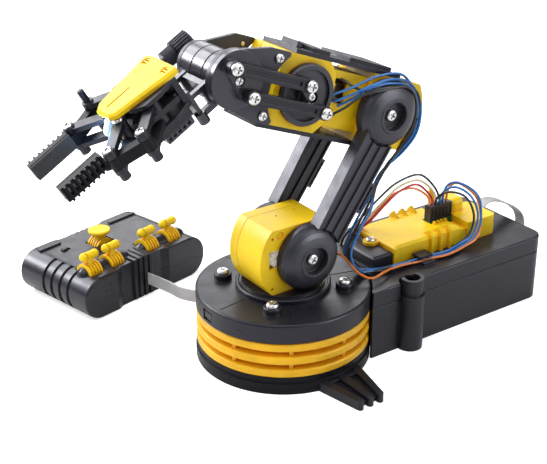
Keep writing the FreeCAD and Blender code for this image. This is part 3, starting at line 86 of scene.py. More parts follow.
# ---------------------------------------------------------------- material helpers
NOISE_LOW, NOISE_HIGH = 0.3, 0.7        # the range most of a noise's values lie in
NODE_SAMPLES = 6                        # rays of each rounded-edge and recess node
EDGE_FULL, EDGE_NONE = 0.75, 0.995      # cosine between true and rounded normals, on edges and on flats
HOLLOW_DEEP, HOLLOW_OPEN = 0.35, 0.9    # openness of a place deep in a recess, and of an open face
MOULD_EDGE = 0.45 * MM                  # rounding of a moulding's edges
# the last size is that of the patches of painted edge highlight
MOTTLE_SIZE, SMUDGE_SIZE, HIGHLIGHT_PATCH_SIZE = 18 * MM, 9 * MM, 3 * MM
FINE_PIT, COARSE_PIT = 0.35 * MM, 1.1 * MM


class Tree:
    """A material's node tree, with short calls for the nodes used here."""

    def __init__(self, name):
        self.material = bpy.data.materials.new(name)
        self.material.use_nodes = True
        self.nodes = self.material.node_tree.nodes
        self.links = self.material.node_tree.links
        self.shader = self.nodes["Principled BSDF"]
        self.place = self.nodes.new("ShaderNodeTexCoord").outputs["Object"]

    def feed(self, socket, value):
        """Put a number, a colour or another node's output into an input."""
        if isinstance(value, bpy.types.NodeSocket):
            self.links.new(value, socket)
        elif socket.type == "RGBA":
            socket.default_value = (*value, 1.0)
        else:
            socket.default_value = value

    def surface(self, settings):
        """Put values into the shader's inputs, by name."""
        for name, value in settings.items():
            self.feed(self.shader.inputs[name], value)

    def noise(self, size, detail=2.0, rough=0.5):
        """Noise whose features are about `size` metres across."""
        node = self.nodes.new("ShaderNodeTexNoise")
        self.feed(node.inputs["Vector"], self.place)
        self.feed(node.inputs["Scale"], 1 / size)
        self.feed(node.inputs["Detail"], detail)
        self.feed(node.inputs["Roughness"], rough)
        return node.outputs["Fac"]

    def cells(self, size):
        """Distance to the nearest of scattered points about `size` metres apart."""
        node = self.nodes.new("ShaderNodeTexVoronoi")
        self.feed(node.inputs["Vector"], self.place)
        self.feed(node.inputs["Scale"], 1 / size)
        return node.outputs["Distance"]

    def spread(self, value, low=NOISE_LOW, high=NOISE_HIGH, out_low=0.0, out_high=1.0):
        """Map a value from one range to another, clamped."""
        node = self.nodes.new("ShaderNodeMapRange")
        self.feed(node.inputs["Value"], value)
        self.feed(node.inputs["From Min"], low)
        self.feed(node.inputs["From Max"], high)
        self.feed(node.inputs["To Min"], out_low)
        self.feed(node.inputs["To Max"], out_high)
        return node.outputs["Result"]

    def math(self, operation, first, second):
        """One sum on two values."""
        node = self.nodes.new("ShaderNodeMath")
        node.operation = operation
        self.feed(node.inputs[0], first)
        self.feed(node.inputs[1], second)
        return node.outputs[0]

    def mix(self, share, first, second):
        """Blend two colours."""
        node = self.nodes.new("ShaderNodeMix")
        node.data_type = "RGBA"
        self.feed(node.inputs["Factor"], share)
        self.feed(node.inputs[6], first)
        self.feed(node.inputs[7], second)
        return node.outputs[2]

    def bump(self, height, distance, strength=1.0, normal=None):
        """Normal tilted by a height, on top of another normal if one is given."""
        node = self.nodes.new("ShaderNodeBump")
        self.feed(node.inputs["Height"], height)
        self.feed(node.inputs["Distance"], distance)
        self.feed(node.inputs["Strength"], strength)
        if normal is not None:
            self.feed(node.inputs["Normal"], normal)
        return node.outputs["Normal"]

    def soft_edges(self, radius):
        """Normal with every edge rounded by the radius."""
        node = self.nodes.new("ShaderNodeBevel")
        node.samples = NODE_SAMPLES
        self.feed(node.inputs["Radius"], radius)
        return node.outputs["Normal"]

    def edge_mask(self, rounded):
        """1 on edges, 0 on flats, found where the rounded normal leaves the true one."""
        true_normal = self.nodes.new("ShaderNodeNewGeometry").outputs["Normal"]
        dot = self.nodes.new("ShaderNodeVectorMath")
        dot.operation = "DOT_PRODUCT"
        self.feed(dot.inputs[0], rounded)
        self.feed(dot.inputs[1], true_normal)
        return self.spread(dot.outputs["Value"], EDGE_NONE, EDGE_FULL)

    def hollow(self, distance):
        """0 deep in a recess, 1 on open faces: where painted shade goes."""
        node = self.nodes.new("ShaderNodeAmbientOcclusion")
        node.samples = NODE_SAMPLES
        self.feed(node.inputs["Distance"], distance)
        return self.spread(node.outputs["AO"], HOLLOW_DEEP, HOLLOW_OPEN)


def shaded(colour, share):
    """The colour, darkened or lightened."""
    return tuple(c * share for c in colour)


def moulded(name, colour, roughness, grain, edge, edge_light, recess=None, reach=2.5 * MM,
            shine=0.36, tint=COOL):
    """Injection-moulded plastic, mottled, with a fine grain, painted edge highlights and optional
    painted shade in recesses.

    `edge` is how much of the painted edge highlight shows. `reach` is how near the walls of a recess
    have to be for the painted shade to show.
    """
    tree = Tree(name)
    rounded = tree.soft_edges(MOULD_EDGE)
    mottling = tree.spread(tree.noise(MOTTLE_SIZE, 4.0))
    body = tree.mix(mottling, shaded(colour, 0.86), shaded(colour, 1.1))
    # painted shade: near the walls of a recess the plastic takes the recess colour
    if recess:
        body = tree.mix(tree.hollow(reach), recess, body)
    # painted highlight: the edges are brightened, in patches
    highlight_patches = tree.spread(tree.noise(HIGHLIGHT_PATCH_SIZE), 0.35, 0.65, 0.3, 1.0)
    edge_highlight = tree.math("MULTIPLY", tree.edge_mask(rounded), highlight_patches)
    lighter = tuple(min(1.0, c * edge_light + 0.012) for c in colour)
    smudges = tree.noise(SMUDGE_SIZE, 5.0, 0.65)
    pits = tree.math("ADD", tree.noise(FINE_PIT, 3.0), tree.noise(COARSE_PIT, 1.0))
    tree.surface({
        "Base Color": tree.mix(tree.math("MULTIPLY", edge_highlight, edge), body, lighter),
        "Roughness": tree.spread(smudges, out_low=roughness - 0.05, out_high=roughness + 0.07),
        "Specular IOR Level": shine,
        "Specular Tint": tint,
        "Normal": tree.bump(pits, grain, normal=rounded),
    })
    return tree.material


def metal(name, roughness, mark_size):
    """Plated or turned steel with fine tool marks, with painted shade where it is hemmed in."""
    tree = Tree(name)
    patches = tree.spread(tree.noise(2.5 * MM, 4.0))
    plated = tree.mix(patches, shaded(STEEL, 0.8), STEEL)
    marks = tree.noise(mark_size, 3.0, 0.6)
    tree.surface({
        # painted shade: the steel turns dark where it is hemmed in, as in a screw's cross recess
        "Base Color": tree.mix(tree.hollow(1.0 * MM), shaded(STEEL, 0.12), plated),
        "Metallic": 1.0,
        "Roughness": tree.spread(marks, out_low=roughness, out_high=roughness + 0.15),
        "Normal": tree.bump(marks, 0.012 * MM, 0.4, tree.soft_edges(0.15 * MM)),
    })
    return tree.material


def foam_material():
    """Closed-cell foam: matt, pitted with open cells, with painted shade in the pits."""
    tree = Tree("foam_black")
    pits = tree.cells(0.55 * MM)
    tree.surface({
        # painted shade: the foam is darker in its pits, paler between them
        "Base Color": tree.mix(tree.spread(pits, 0.1, 0.6), shaded(FOAM, 0.4), shaded(FOAM, 1.8)),
        "Roughness": 0.85,
        "Normal": tree.bump(pits, 0.25 * MM, normal=tree.soft_edges(0.5 * MM)),
    })
    return tree.material


def foam_backing_material():
    """Pale paper-like sheet behind a foam pad."""
    tree = Tree("pad_backing")
    fibres = tree.spread(tree.noise(0.6 * MM, 4.0))
    tree.surface({
        "Base Color": tree.mix(fibres, BACKING_DULL, BACKING_PALE),
        "Roughness": 0.6,
    })
    return tree.material


def nylon_material():
    """White nylon: light passes a little way into it, and a faint painted glow brightens it though it
    is no lamp.
    """
    tree = Tree("nylon_white")
    cloud = tree.spread(tree.noise(4 * MM, 3.0))
    tree.surface({
        "Base Color": tree.mix(cloud, shaded(NYLON, 0.9), NYLON),
        "Roughness": 0.4,
        "Subsurface Weight": 0.3,
        "Subsurface Radius": (1.0 * MM, 1.0 * MM, 0.8 * MM),
        # painted light: a faint glow, though the gear is no lamp
        "Emission Color": NYLON,
        "Emission Strength": 0.22,
        "Normal": tree.bump(tree.noise(0.5 * MM), 0.03 * MM, normal=tree.soft_edges(0.2 * MM)),
    })
    return tree.material


def lamp_material():
    """Clear lens, lit from inside."""
    tree = Tree("lamp_lens")
    glow = tree.spread(tree.noise(2 * MM), out_low=0.9, out_high=1.1)
    tree.surface({
        "Base Color": LENS,
        "Roughness": 0.1,
        "Emission Color": LENS_GLOW,
        "Emission Strength": tree.math("MULTIPLY", glow, 0.42),
    })
    return tree.material


def sleeve_material(name, colour):
    """Soft wire insulation: slightly uneven, with a waxy sheen."""
    tree = Tree(name)
    tint = tree.spread(tree.noise(6 * MM, 3.0))
    tree.surface({
        "Base Color": tree.mix(tint, shaded(colour, 0.82), colour),
        "Roughness": tree.spread(tree.noise(2 * MM), out_low=0.32, out_high=0.47),
        "Normal": tree.bump(tree.noise(0.8 * MM), 0.03 * MM),
    })
    return tree.material


def board_material():
    """Green circuit board with fine lines of copper under the mask."""
    tree = Tree("board_green")
    lines = tree.spread(tree.cells(2.2 * MM), 0.45, 0.5)
    tree.surface({
        "Base Color": tree.mix(lines, BOARD_DARK, BOARD_LIGHT),
        "Roughness": 0.3,
    })
    return tree.material


# edge and edge_light set each plastic's painted edge highlight; recess sets its painted shade in
# recesses
MATERIALS = {
    "black_shell": moulded(
        "plastic_black", BLACK, roughness=0.36, grain=0.02 * MM, edge=0.8, edge_light=2.6),
    # painted shade in the yellow plastic's recesses
    "yellow_shell": moulded(
        "plastic_yellow", YELLOW, roughness=0.42, grain=0.010 * MM, edge=0.35, edge_light=1.05,
        recess=SHADED_RECESS_YELLOW, tint=WARM),
    "screw_steel": metal("steel_screw", roughness=0.22, mark_size=0.9 * MM),
    "shaft_steel": metal("steel_shaft", roughness=0.25, mark_size=0.3 * MM),
    "motor_can": metal("steel_can", roughness=0.3, mark_size=0.4 * MM),
    "gear_white": nylon_material(),
    "foam": foam_material(),
    "lamp_lens": lamp_material(),
    "cell_jacket": moulded(
        "cell_jacket", JACKET_BLACK, roughness=0.25, grain=0.005 * MM, edge=0.2, edge_light=1.6),
    "board_green": board_material(),
    "ribbon_grey": sleeve_material("ribbon_grey", RIBBON),
    "wire_sleeve": sleeve_material("wire_black", (0.012, 0.012, 0.014)),
}
GLOSSY_PLASTIC = moulded(
    "plastic_black_gloss", GLOSS_BLACK, roughness=0.24, grain=0.0012 * MM, edge=0.4, edge_light=1.8,
    shine=0.6)
HANDSET_PLASTIC = moulded(
    "plastic_black_handset", BLACK, roughness=0.30, grain=0.0015 * MM, edge=0.3, edge_light=1.8,
    shine=0.42)
PLATE_PLASTIC = moulded(
    "plastic_black_plate", PLATE_BLACK, roughness=0.42, grain=0.012 * MM, edge=0.5, edge_light=2.0,
    shine=0.15)
# painted shade: the floors of the arm's grooves are darkened almost to black
ARM_PLASTIC = moulded(
    "plastic_black_arm", ARM_BLACK, roughness=0.40, grain=0.012 * MM, edge=0.8, edge_light=2.8,
    recess=shaded(ARM_BLACK, 0.08), reach=7 * MM, shine=0.55)
# painted shade: a darker, more orange copy of the yellow plastic, for the ring housing
SHADED_RING_PLASTIC = moulded(
    "plastic_yellow_ring_shaded", SHADED_RING_YELLOW, roughness=0.42, grain=0.010 * MM, edge=0.35, edge_light=1.05,
    recess=SHADED_RECESS_YELLOW, tint=WARM)
NODE_MATERIALS = {
    "wrist_drum": GLOSSY_PLASTIC,
    "gripper_motor": GLOSSY_PLASTIC,
    "handset_top": HANDSET_PLASTIC,
    "handset_bottom": HANDSET_PLASTIC,
    "finger_near": PLATE_PLASTIC,
    "finger_far": PLATE_PLASTIC,
    "base_plate": PLATE_PLASTIC,
    "upper_arm_near": ARM_PLASTIC,
    "upper_arm_far": ARM_PLASTIC,
    "fork_plates": ARM_PLASTIC,
    "wrist_crank": ARM_PLASTIC,
    # painted shade on the ring housing
    "ring_housing": SHADED_RING_PLASTIC,
}
WIRE_COLOURS = {
    "blue": sleeve_material("wire_blue", (0.02, 0.17, 0.52)),
    "black": MATERIALS["wire_sleeve"],
    "orange": sleeve_material("wire_orange", (0.85, 0.22, 0.015)),
    "red": sleeve_material("wire_red", (0.55, 0.012, 0.02)),
    "cream": sleeve_material("wire_cream", (0.82, 0.70, 0.42)),
}


def paint_nodes():
    """Give each CAD node its own material, or else the one of its material slot; the ring housing's has
    painted shade.
    """
    for entry in frame["record"]["subparts"]:
        node = entry["node"]
        mesh = NODES[node].data
        mesh.materials.clear()
        mesh.materials.append(NODE_MATERIALS.get(node, MATERIALS[entry["material_slot"]]))


# ---------------------------------------------------------------- shape helpers
def add_object(name, data):
    """An object with the given data, in the scene."""
    obj = bpy.data.objects.new(name, data)
    bpy.context.scene.collection.objects.link(obj)
    return obj


def add_mesh(name, vertices, faces, material):
    """A mesh object of one material."""
    mesh = bpy.data.meshes.new(name)
    mesh.from_pydata([tuple(vertex) for vertex in vertices], [], faces)
    mesh.materials.append(material)
    return add_object(name, mesh)


def circle(radius, sides=10):
    """Corners of a regular polygon about the origin."""
    turns = [2 * math.pi * side / sides for side in range(sides)]
    return [(radius * math.cos(turn), radius * math.sin(turn)) for turn in turns]


def tube_faces(rings, sides):
    """Faces between rings of corners, with a cap on the first ring and one on the last."""
    faces = []
    for ring in range(rings - 1):
        here, beyond = ring * sides, (ring + 1) * sides
        for corner in range(sides):
            following = (corner + 1) % sides
            faces.append((here + corner, here + following, beyond + following, beyond + corner))
    faces.append(tuple(reversed(range(sides))))
    faces.append(tuple(range((rings - 1) * sides, rings * sides)))
    return faces


def smooth_path(points, steps):
    """Catmull-Rom curve through points given in millimetres, as places in metres."""
    spots = [Vector(point) * MM for point in points]
    spots = [spots[0] * 2 - spots[1]] + spots + [spots[-1] * 2 - spots[-2]]
    path = []
    for a, b, c, d in zip(spots, spots[1:], spots[2:], spots[3:]):
        for step in range(steps):
            t = step / steps
            bend = (2 * a - 5 * b + 4 * c - d) * t * t + (3 * b - a - 3 * c + d) * t ** 3
            path.append((2 * b + (c - a) * t + bend) * 0.5)
    path.append(spots[-2])
    return path


def sweep(name, path, outline, widths, material):
    """Solid made by carrying a closed outline along a path.

    `widths` gives the direction of the outline's first axis at each place of the path.
    """
    last = len(path) - 1
    vertices = []
    for index, (spot, width) in enumerate(zip(path, widths)):
        ahead = (path[min(index + 1, last)] - path[max(index - 1, 0)]).normalized()
        across = (width - ahead * width.dot(ahead)).normalized()
        up = ahead.cross(across)
        vertices += [spot + across * a + up * b for a, b in outline]
    faces = tube_faces(len(path), len(outline))
    obj = add_mesh(name, vertices, faces, material)
    obj.data.polygons.foreach_set("use_smooth", [True] * (len(faces) - 2) + [False] * 2)
    return obj


def turned_solid(name, base, axis, profile, material, sides=40, recess=None):
    """Solid of revolution on the axis from base.

    `profile` is a row of (radius, height), and `recess` says how far each place of it is sunk.
    """
    axis = axis.normalized()
    across = axis.orthogonal().normalized()
    up = axis.cross(across)
    vertices = []
    for radius, height in profile:
        for a, b in circle(radius, sides):
            drop = recess(a, b) if recess else 0.0
            vertices.append(base + across * a + up * b + axis * (height - drop))
    return add_mesh(name, vertices, tube_faces(len(profile), sides), material)


# ---------------------------------------------------------------- wires (their points in millimetres)
WIRE_RADIUS = 0.75 * MM
WIRE_WANDER = 0.25              # how far a wire strays from its points, in millimetres
WIRE_STEPS, RIBBON_STEPS = 8, 6
SKEW = Vector((0.31, 0.9, 0.27))        # a direction that no wire runs along

# From the plugs: up out of the cover, over its near side and back under the lid's hook.
PLUG_LOOPS = (
    ("blue", (
        (119, -0.8, 64), (120, -3, 73), (122, -12, 79.5), (128, -20, 75), (132, -23, 63),
        (128, -24.5, 51), (118, -24, 46.5), (103, -26.5, 46), (89, -23.2, 45.7), (84, -23.2, 45.7),
        (75, -24, 46), (62, -23, 46)
    )),
    ("blue", (
        (122, -0.8, 64), (122.5, -3, 76), (123.5, -12, 82.5), (131, -22, 76), (134, -24, 62),
        (130, -25.5, 50), (118, -25.5, 45.5), (103, -28, 45), (89, -24, 44.3), (84, -24, 44.3),
        (75, -22, 44.6), (60, -21, 45)
    )),
    ("black", (
        (116, -0.8, 64), (117, -2.5, 71), (119, -11, 76.5), (125, -19, 74), (129.5, -22, 62),
        (126, -23.3, 51), (117, -23, 46), (103, -25.5, 45), (89, -22.4, 44.3), (84, -22.4, 44.3),
        (75, -23, 45), (60, -25, 45)
    )),
    ("orange", (
        (125, -0.8, 64), (125.5, -3, 75), (126, -11, 80.5), (132, -21, 73), (134.5, -23.5, 60),
        (130, -26.5, 49), (119, -26.8, 45.6), (103, -29.3, 45), (89, -25.6, 44.3),
        (84, -25.6, 44.3), (72, -25.5, 45.4), (60, -25.5, 46)
    )),
)

# The orange pair's way on from under the hook to the shoulder gearbox.
GEARBOX_LOOM = (
    (60, -25.5, 46), (52, -28, 46.5), (44, -30, 47), (39, -28.5, 48), (36, -23, 51), (33, -17, 57),
    (27, -13, 63), (20, -12, 66), (16, -12, 66.5)
)

# From the plugs down to the motor in the base, behind the lid's front block.
BASE_LOOMS = (
    ("cream", (
        (118, -0.8, 64), (118.5, 4, 72), (109, 8, 80.5), (94, 8.5, 79.5), (82, 9, 72.5),
        (70, 12, 61), (63, 19, 50), (61, 21, 43)
    )),
    ("red", (
        (115, -0.8, 64), (116, 4, 70), (108, 7.5, 77.5), (94, 7.5, 77), (83, 7.5, 71), (72, 10, 61),
        (64, 17.6, 51), (62, 20, 43)
    )),
    ("black", (
        (121, -0.8, 64), (121, 5, 73), (111, 9, 83), (94, 10, 82), (81, 11, 74.5), (68, 14, 62),
        (62, 20.5, 50), (60, 22.5, 43)
    )),
    ("orange", (
        (112, -0.8, 64), (113.5, 4, 70), (105, 8, 76), (93, 9.5, 75.5), (83, 10, 70), (73, 12, 60),
        (65.5, 19, 51), (64, 21.5, 43)
    )),
)

# Across the elbow: from the forearm's motor window over the hub and round its rear to the upper arm.
ELBOW_LOOMS = (
    ("blue", (
        (23, -9, 157), (24, -12.8, 158), (35, -16.5, 161), (50, -18.5, 165), (67, -18, 163),
        (76, -18, 155), (81, -18.5, 144), (82, -18, 129), (75, -15.5, 116), (64, -13, 106),
        (56, -13, 97)
    )),
    ("blue", (
        (26, -9, 149), (29, -12.8, 151), (36, -16.6, 155), (43, -22.5, 161), (57, -24, 161),
        (72, -22.3, 155), (80, -19.5, 141), (79, -18, 125), (71, -15, 114), (60, -14, 103),
        (54, -14, 95)
    )),
    ("black", (
        (28, -9, 164), (30, -12.8, 165), (37, -16.6, 160), (42, -22.5, 159), (56, -24.8, 159.5),
        (74, -21.6, 154.5), (81, -20, 145), (80, -19, 132), (74, -16, 118), (64, -14.5, 109),
        (57, -14.5, 99)
    )),
    ("black", (
        (20, -14, 145), (23, -14.5, 147), (29, -17.5, 151), (38, -21, 157), (48, -25, 158.5),
        (66, -25, 157.5), (77.5, -20.8, 147), (78.5, -19, 132), (72, -16.5, 119), (63, -15.5, 109),
        (55, -15.5, 98)
    )),
    ("blue", (
        (24, -9, 153), (26, -12.8, 154), (35, -17, 157.5), (44, -23, 162.5), (58, -22.5, 163),
        (73, -20, 157), (82, -19.5, 143), (81, -19.5, 127), (73.5, -16.5, 115), (62, -12, 104.5),
        (55.5, -12, 96)
    )),
)

# The elbow looms' way down the arm: side by side, every second one set back a little.
FIRST_LOOM_Y, LOOM_PITCH, LOOM_STAGGER = -14.0, 1.6, 0.9


def wire(name, colour, points):
    """One insulated wire through the points, with a little seeded unevenness between its ends."""
    middle = []
    for point in points[1:-1]:
        stray = Vector([random.uniform(-WIRE_WANDER, WIRE_WANDER) for _ in range(3)])
        middle.append(Vector(point) + stray)
    path = smooth_path([points[0]] + middle + [points[-1]], WIRE_STEPS)
    obj = sweep(name, path, circle(WIRE_RADIUS), [SKEW] * len(path), WIRE_COLOURS[colour])
    return obj


def lay_plug_loops():
    """The loops at the controller, which replace the plain CAD looms."""
    loops = []
    for index, (colour, points) in enumerate(PLUG_LOOPS):
        loops.append(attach(wire(f"plug_loop_{index}", colour, points), "root"))
    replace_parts(loops[0], "motor_looms")


def lay_base_looms():
    """The looms down into the base."""
    for index, (colour, points) in enumerate(BASE_LOOMS):
        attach(wire(f"base_loom_{index}", colour, points), "root")


def arm_and_loop(index, start):
    """Points of an elbow loom's way on: down the back of the arm, then behind the shoulder."""
    y = FIRST_LOOM_Y - LOOM_PITCH * index
    aside = LOOM_STAGGER * (index % 2)
    arm = (start, (48 + aside, y, 87), (41 + aside, y, 77), (37.5 + aside, y, 71))
    loop = (
        arm[-1], (34 + aside, y, 64), (34.5 + aside, y, 57), (38.5 + aside, y, 50.5), (43, y, 46.5)
    )
    return arm, loop


def crossing(index, start):
    """Points of an elbow loom's last stretch: across the gap beside the base to the lid's hook."""
    end = PLUG_LOOPS[index % 3][1][-1]
    return start, (51, (start[1] + end[1]) / 2, 45.4), end


def lay_elbow_looms():
    """The looms from the forearm down to the lid, each one in a stretch per body or joint."""
    for index, (colour, points) in enumerate(ELBOW_LOOMS):
        arm, loop = arm_and_loop(index, points[-1])
        over = wire(f"elbow_loom_{index}", colour, points)
        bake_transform(over)
        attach(wire(f"arm_loom_{index}", colour, arm), "upper_arm")
        behind = wire(f"shoulder_loom_{index}", colour, loop)
        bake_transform(behind)
        onward = wire(f"base_crossing_{index}", colour, crossing(index, loop[-1]))
        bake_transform(onward)


def lay_looms():
    """Every loose wire."""
    lay_plug_loops()
    lay_base_looms()
    lay_elbow_looms()
    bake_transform(wire("gearbox_loom", "orange", GEARBOX_LOOM))


# ---------------------------------------------------------------- ribbon cable (points in millimetres)
RIBBON_HALF, RIBBON_THICK, RIBBON_CORES = 4.2 * MM, 0.5 * MM, 10
CORE_PROFILE = ((0.0, 0.55), (0.25, 0.95), (0.5, 1.1), (0.75, 0.95))    # share of pitch, of thickness
UPRIGHT, SIDEWAYS = Vector((0, 0, 1)), Vector((0, 1, 0))
RIBBON_FLOOR = (
    (-33, 107, 12), (-30.7, 100, 12), (-26.6, 86, 11.5), (-24, 76, 11), (-14, 64, 11), (10, 57.5, 11),
    (32, 55, 11), (48, 53, 11), (64, 51.8, 11), (80, 45.5, 11), (96, 41.6, 11), (130, 41.5, 11),
    (164, 41.5, 11), (176, 38.5, 11), (182, 30, 11.5)
)
RIBBON_RISE = (
    (186, 18, 15), (190, 6, 22), (194, -1.5, 31), (192.5, -1.5, 40), (186, -1.5, 46.5),
    (179, -1.5, 51), (171, -1.5, 55), (162, -1.5, 57.5), (155, -1.5, 55), (152.5, -1.5, 50)
)


def ribbon_outline():
    """Section of a flat cable: a row of round cores joined side by side."""
    pitch = 2 * RIBBON_HALF / RIBBON_CORES
    top = []
    for core in range(RIBBON_CORES):
        left = -RIBBON_HALF + core * pitch
        top += [(left + across * pitch, up * RIBBON_THICK) for across, up in CORE_PROFILE]
    top.append((RIBBON_HALF, CORE_PROFILE[0][1] * RIBBON_THICK))
    bottom = [(a, -b) for a, b in top]
    return bottom + top[::-1]


def lay_ribbon():
    """Flat cable from the handset to the controller, replacing its plain CAD strip."""
    path = smooth_path(RIBBON_FLOOR + RIBBON_RISE, RIBBON_STEPS)
    turn_from = RIBBON_STEPS * (len(RIBBON_FLOOR) - 2)
    turn_to = RIBBON_STEPS * (len(RIBBON_FLOOR) + 2)
    widths = []
    for index in range(len(path)):
        share = min(1.0, max(0.0, (index - turn_from) / (turn_to - turn_from)))
        widths.append(UPRIGHT.lerp(SIDEWAYS, share))
    obj = sweep("ribbon_cable", path, ribbon_outline(), widths, MATERIALS["ribbon_grey"])
    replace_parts(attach(obj, "root"), "handset_ribbon")


# ---------------------------------------------------------------- gripper details
LINK_TOP = 7.5 * MM             # from a jaw joint's mark to the top of its link's head
SCREW_RADIUS, SCREW_SIDES, SCREW_SUNK = 2.5 * MM, 64, 0.2 * MM
DOME_STEPS = (1.0, 0.94, 0.85, 0.74, 0.63, 0.62, 0.5, 0.38, 0.27, 0.19, 0.18, 0.1, 0.03)
POST_PROFILE = (
    (1.9 * MM, -0.3 * MM), (1.9 * MM, 6.4 * MM), (1.7 * MM, 7.0 * MM), (1.2 * MM, 7.3 * MM)
)
BACKING_LONG, BACKING_WIDE = 12.2 * MM, 2.9 * MM        # half its length and half its width
BACKING_THICK, BACKING_OUT = 0.4 * MM, 0.45 * MM        # half its thickness, and its middle off the pad
BACKING = foam_backing_material()


def joint_place(name):
    """A joint's place at rest."""
    return Vector(JOINTS[name]["pos_m"])


def joint_axis(name):
    """A joint's axis, turned to point upwards."""
    axis = Vector(JOINTS[name]["axis"])
    return axis if axis.z > 0 else -axis


def cross_screw(name, base, axis):
    """Domed screw head with a cross-shaped recess."""
    height = 0.45 * SCREW_RADIUS
    profile = [(0.9 * SCREW_RADIUS, -SCREW_SUNK), (SCREW_RADIUS, 0.0)]
    for step in DOME_STEPS:
        profile.append((SCREW_RADIUS * step, height * (0.25 + 0.75 * math.sqrt(1 - step * step))))

    def cross(a, b):
        """How far the recess sinks the head at a place across it."""
        in_slot = min(abs(a), abs(b)) < 0.17 * SCREW_RADIUS
        in_reach = math.hypot(a, b) < 0.625 * SCREW_RADIUS
        return 0.6 * height if in_slot and in_reach else 0.0

    return turned_solid(name, base, axis, profile, MATERIALS["screw_steel"], SCREW_SIDES, cross)


def finger_screw(place, side, base, axis):
    """Screw head on one of a finger's two pins, front or rear, riding on that link."""
    screw = cross_screw(f"finger_screw_{place}_{side}", base, axis)
    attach(screw, f"{place}_link_{side}")


def finger_pins():
    """Screw heads on the finger pins, and the tall plain pin on the far rear link."""
    for side in ("near", "far"):
        axis = joint_axis("finger_" + side)
        front = joint_place("finger_" + side) + axis * LINK_TOP
        rear = front + joint_place("jaw_rear_" + side) - joint_place("jaw_front_" + side)
        finger_screw("front", side, front, axis)
        if side == "near":
            finger_screw("rear", side, rear, axis)
        else:
            post = turned_solid("finger_post_far", rear, axis, POST_PROFILE, MATERIALS["black_shell"])
            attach(post, "rear_link_far")


def pad_backings():
    """Pale backing sheet of each foam pad, seen through the windows in its finger."""
    forward = -joint_axis("finger_near").cross(SIDEWAYS)
    sheet = [(-BACKING_LONG, -BACKING_WIDE), (BACKING_LONG, -BACKING_WIDE),
             (BACKING_LONG, BACKING_WIDE), (-BACKING_LONG, BACKING_WIDE)]
    for side, outward in (("near", -1), ("far", 1)):
        low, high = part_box("grip_pad_" + side)
        middle = (Vector(low) + Vector(high)) / 2
        outer_face = low[1] if outward < 0 else high[1]
        middle.y = outer_face + outward * BACKING_OUT
        path = [middle - SIDEWAYS * BACKING_THICK, middle, middle + SIDEWAYS * BACKING_THICK]
        obj = sweep("pad_backing_" + side, path, sheet, [forward] * len(path), BACKING)
        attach(obj, "finger_" + side)


# ---------------------------------------------------------------- stage, light and camera
FLOOR_HALF = 6.0
FLOOR_GLOW = 0.55               # lifts the floor to white for the camera alone
WORLD_LIGHT = 0.28
AIM = Vector((0.0, 0.03, 0.08))         # what the softboxes point at
# name, azimuth and elevation in degrees, distance, size, power, shows only in reflections
SOFTBOXES = (
    ("key", -75, 50, 1.2, (0.9, 0.7), 4.5, False),
    ("fill", 25, 40, 1.4, (0.8, 0.8), 3, False),
    ("top", -20, 85, 1.2, (0.8, 0.8), 7.5, False),
    ("rim", -160, 38, 1.2, (0.9, 0.5), 12, False),
    ("left_back", -122, 24, 1.3, (0.7, 0.6), 3, False),
    ("back", 146, 27, 1.4, (0.9, 0.6), 6, False),
    ("barrel_sheen", -143, 24, 1.1, (0.35, 0.25), 8, True),
    ("hub_sheen", 32, 18, 1.3, (0.8, 0.5), 13, True),
)
LAMP_COLOUR, LAMP_POWER, LAMP_SIZE = (0.35, 0.65, 1.0), 0.018, 2 * MM
LAMP_OFFSET = Vector((-5, 2, 1)) * MM   # from the lens to its light, clear of the lens
CAMERA_AZIMUTH, CAMERA_ELEVATION = -34.93, 24.86
CAMERA_PLACE = Vector((-0.35082, -0.49240, 0.35667))
CAMERA_LENS, CAMERA_SENSOR, CAMERA_NEAR = 76.54, 36.0, 0.01


def direction(azimuth, elevation):
    """Unit vector away from the object, for an azimuth measured from -Y."""
    a, e = math.radians(azimuth), math.radians(elevation)
    return Vector((math.sin(a) * math.cos(e), -math.cos(a) * math.cos(e), math.sin(e)))


def set_looking(obj, place, back):
    """Put a light or camera at a place, looking against the direction `back`."""
    obj.location = place
    obj.rotation_mode = "QUATERNION"
    obj.rotation_quaternion = (-back).to_track_quat("-Z", "Y")


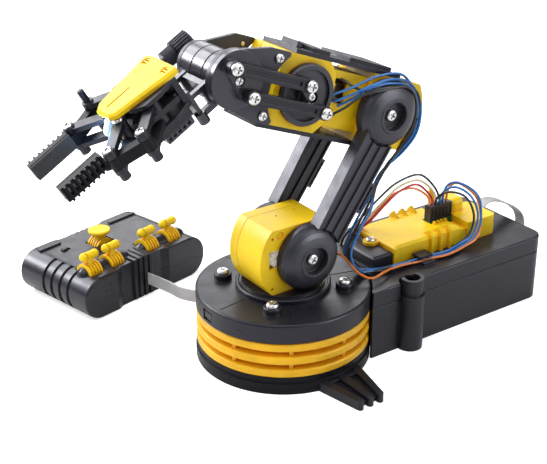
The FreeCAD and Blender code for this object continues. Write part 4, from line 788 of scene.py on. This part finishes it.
def floor():
    """Plain pale floor that glows for the camera alone."""
    tree = Tree("floor_white")
    seen = tree.nodes.new("ShaderNodeLightPath").outputs["Is Camera Ray"]
    tree.surface({
        "Base Color": FLOOR,
        "Roughness": 0.8,
        "Emission Color": WHITE,
        "Emission Strength": tree.math("MULTIPLY", seen, FLOOR_GLOW),
    })
    corners = [(x * FLOOR_HALF, y * FLOOR_HALF, 0) for x, y in ((-1, -1), (1, -1), (1, 1), (-1, 1))]
    add_mesh("floor", corners, [(0, 1, 2, 3)], tree.material)


def softbox(name, azimuth, elevation, distance, size, power, sheen_only):
    """Flat area light aimed at the object from the given direction."""
    light = bpy.data.lights.new(name, "AREA")
    light.shape = "RECTANGLE"
    light.size, light.size_y = size
    light.energy = power
    obj = add_object(name, light)
    back = direction(azimuth, elevation)
    set_looking(obj, AIM + back * distance, back)
    obj.visible_diffuse = not sheen_only


def world_light():
    """Even white light from all round."""
    world = bpy.data.worlds.new("studio")
    bpy.context.scene.world = world
    world.use_nodes = True
    background = world.node_tree.nodes["Background"]
    background.inputs["Color"].default_value = (*WHITE, 1.0)
    background.inputs["Strength"].default_value = WORLD_LIGHT


def lamp_glow():
    """Cool light thrown by the gripper's lamp on to the links beside it."""
    light = bpy.data.lights.new("lamp_glow", "POINT")
    light.color = LAMP_COLOUR
    light.energy = LAMP_POWER
    light.shadow_soft_size = LAMP_SIZE
    low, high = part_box("led_lamp")
    add_object("lamp_glow", light).location = (Vector(low) + Vector(high)) / 2 + LAMP_OFFSET


def camera():
    data = bpy.data.cameras.new("camera")
    data.lens, data.sensor_width = CAMERA_LENS, CAMERA_SENSOR
    data.clip_start = CAMERA_NEAR
    obj = add_object("camera", data)
    set_looking(obj, CAMERA_PLACE, direction(CAMERA_AZIMUTH, CAMERA_ELEVATION))
    bpy.context.scene.camera = obj


paint_nodes()
lay_looms()
lay_ribbon()
finger_pins()
pad_backings()
floor()
world_light()
for settings in SOFTBOXES:
    softbox(*settings)
lamp_glow()
camera()
bpy.context.scene.view_settings.view_transform = "Standard"
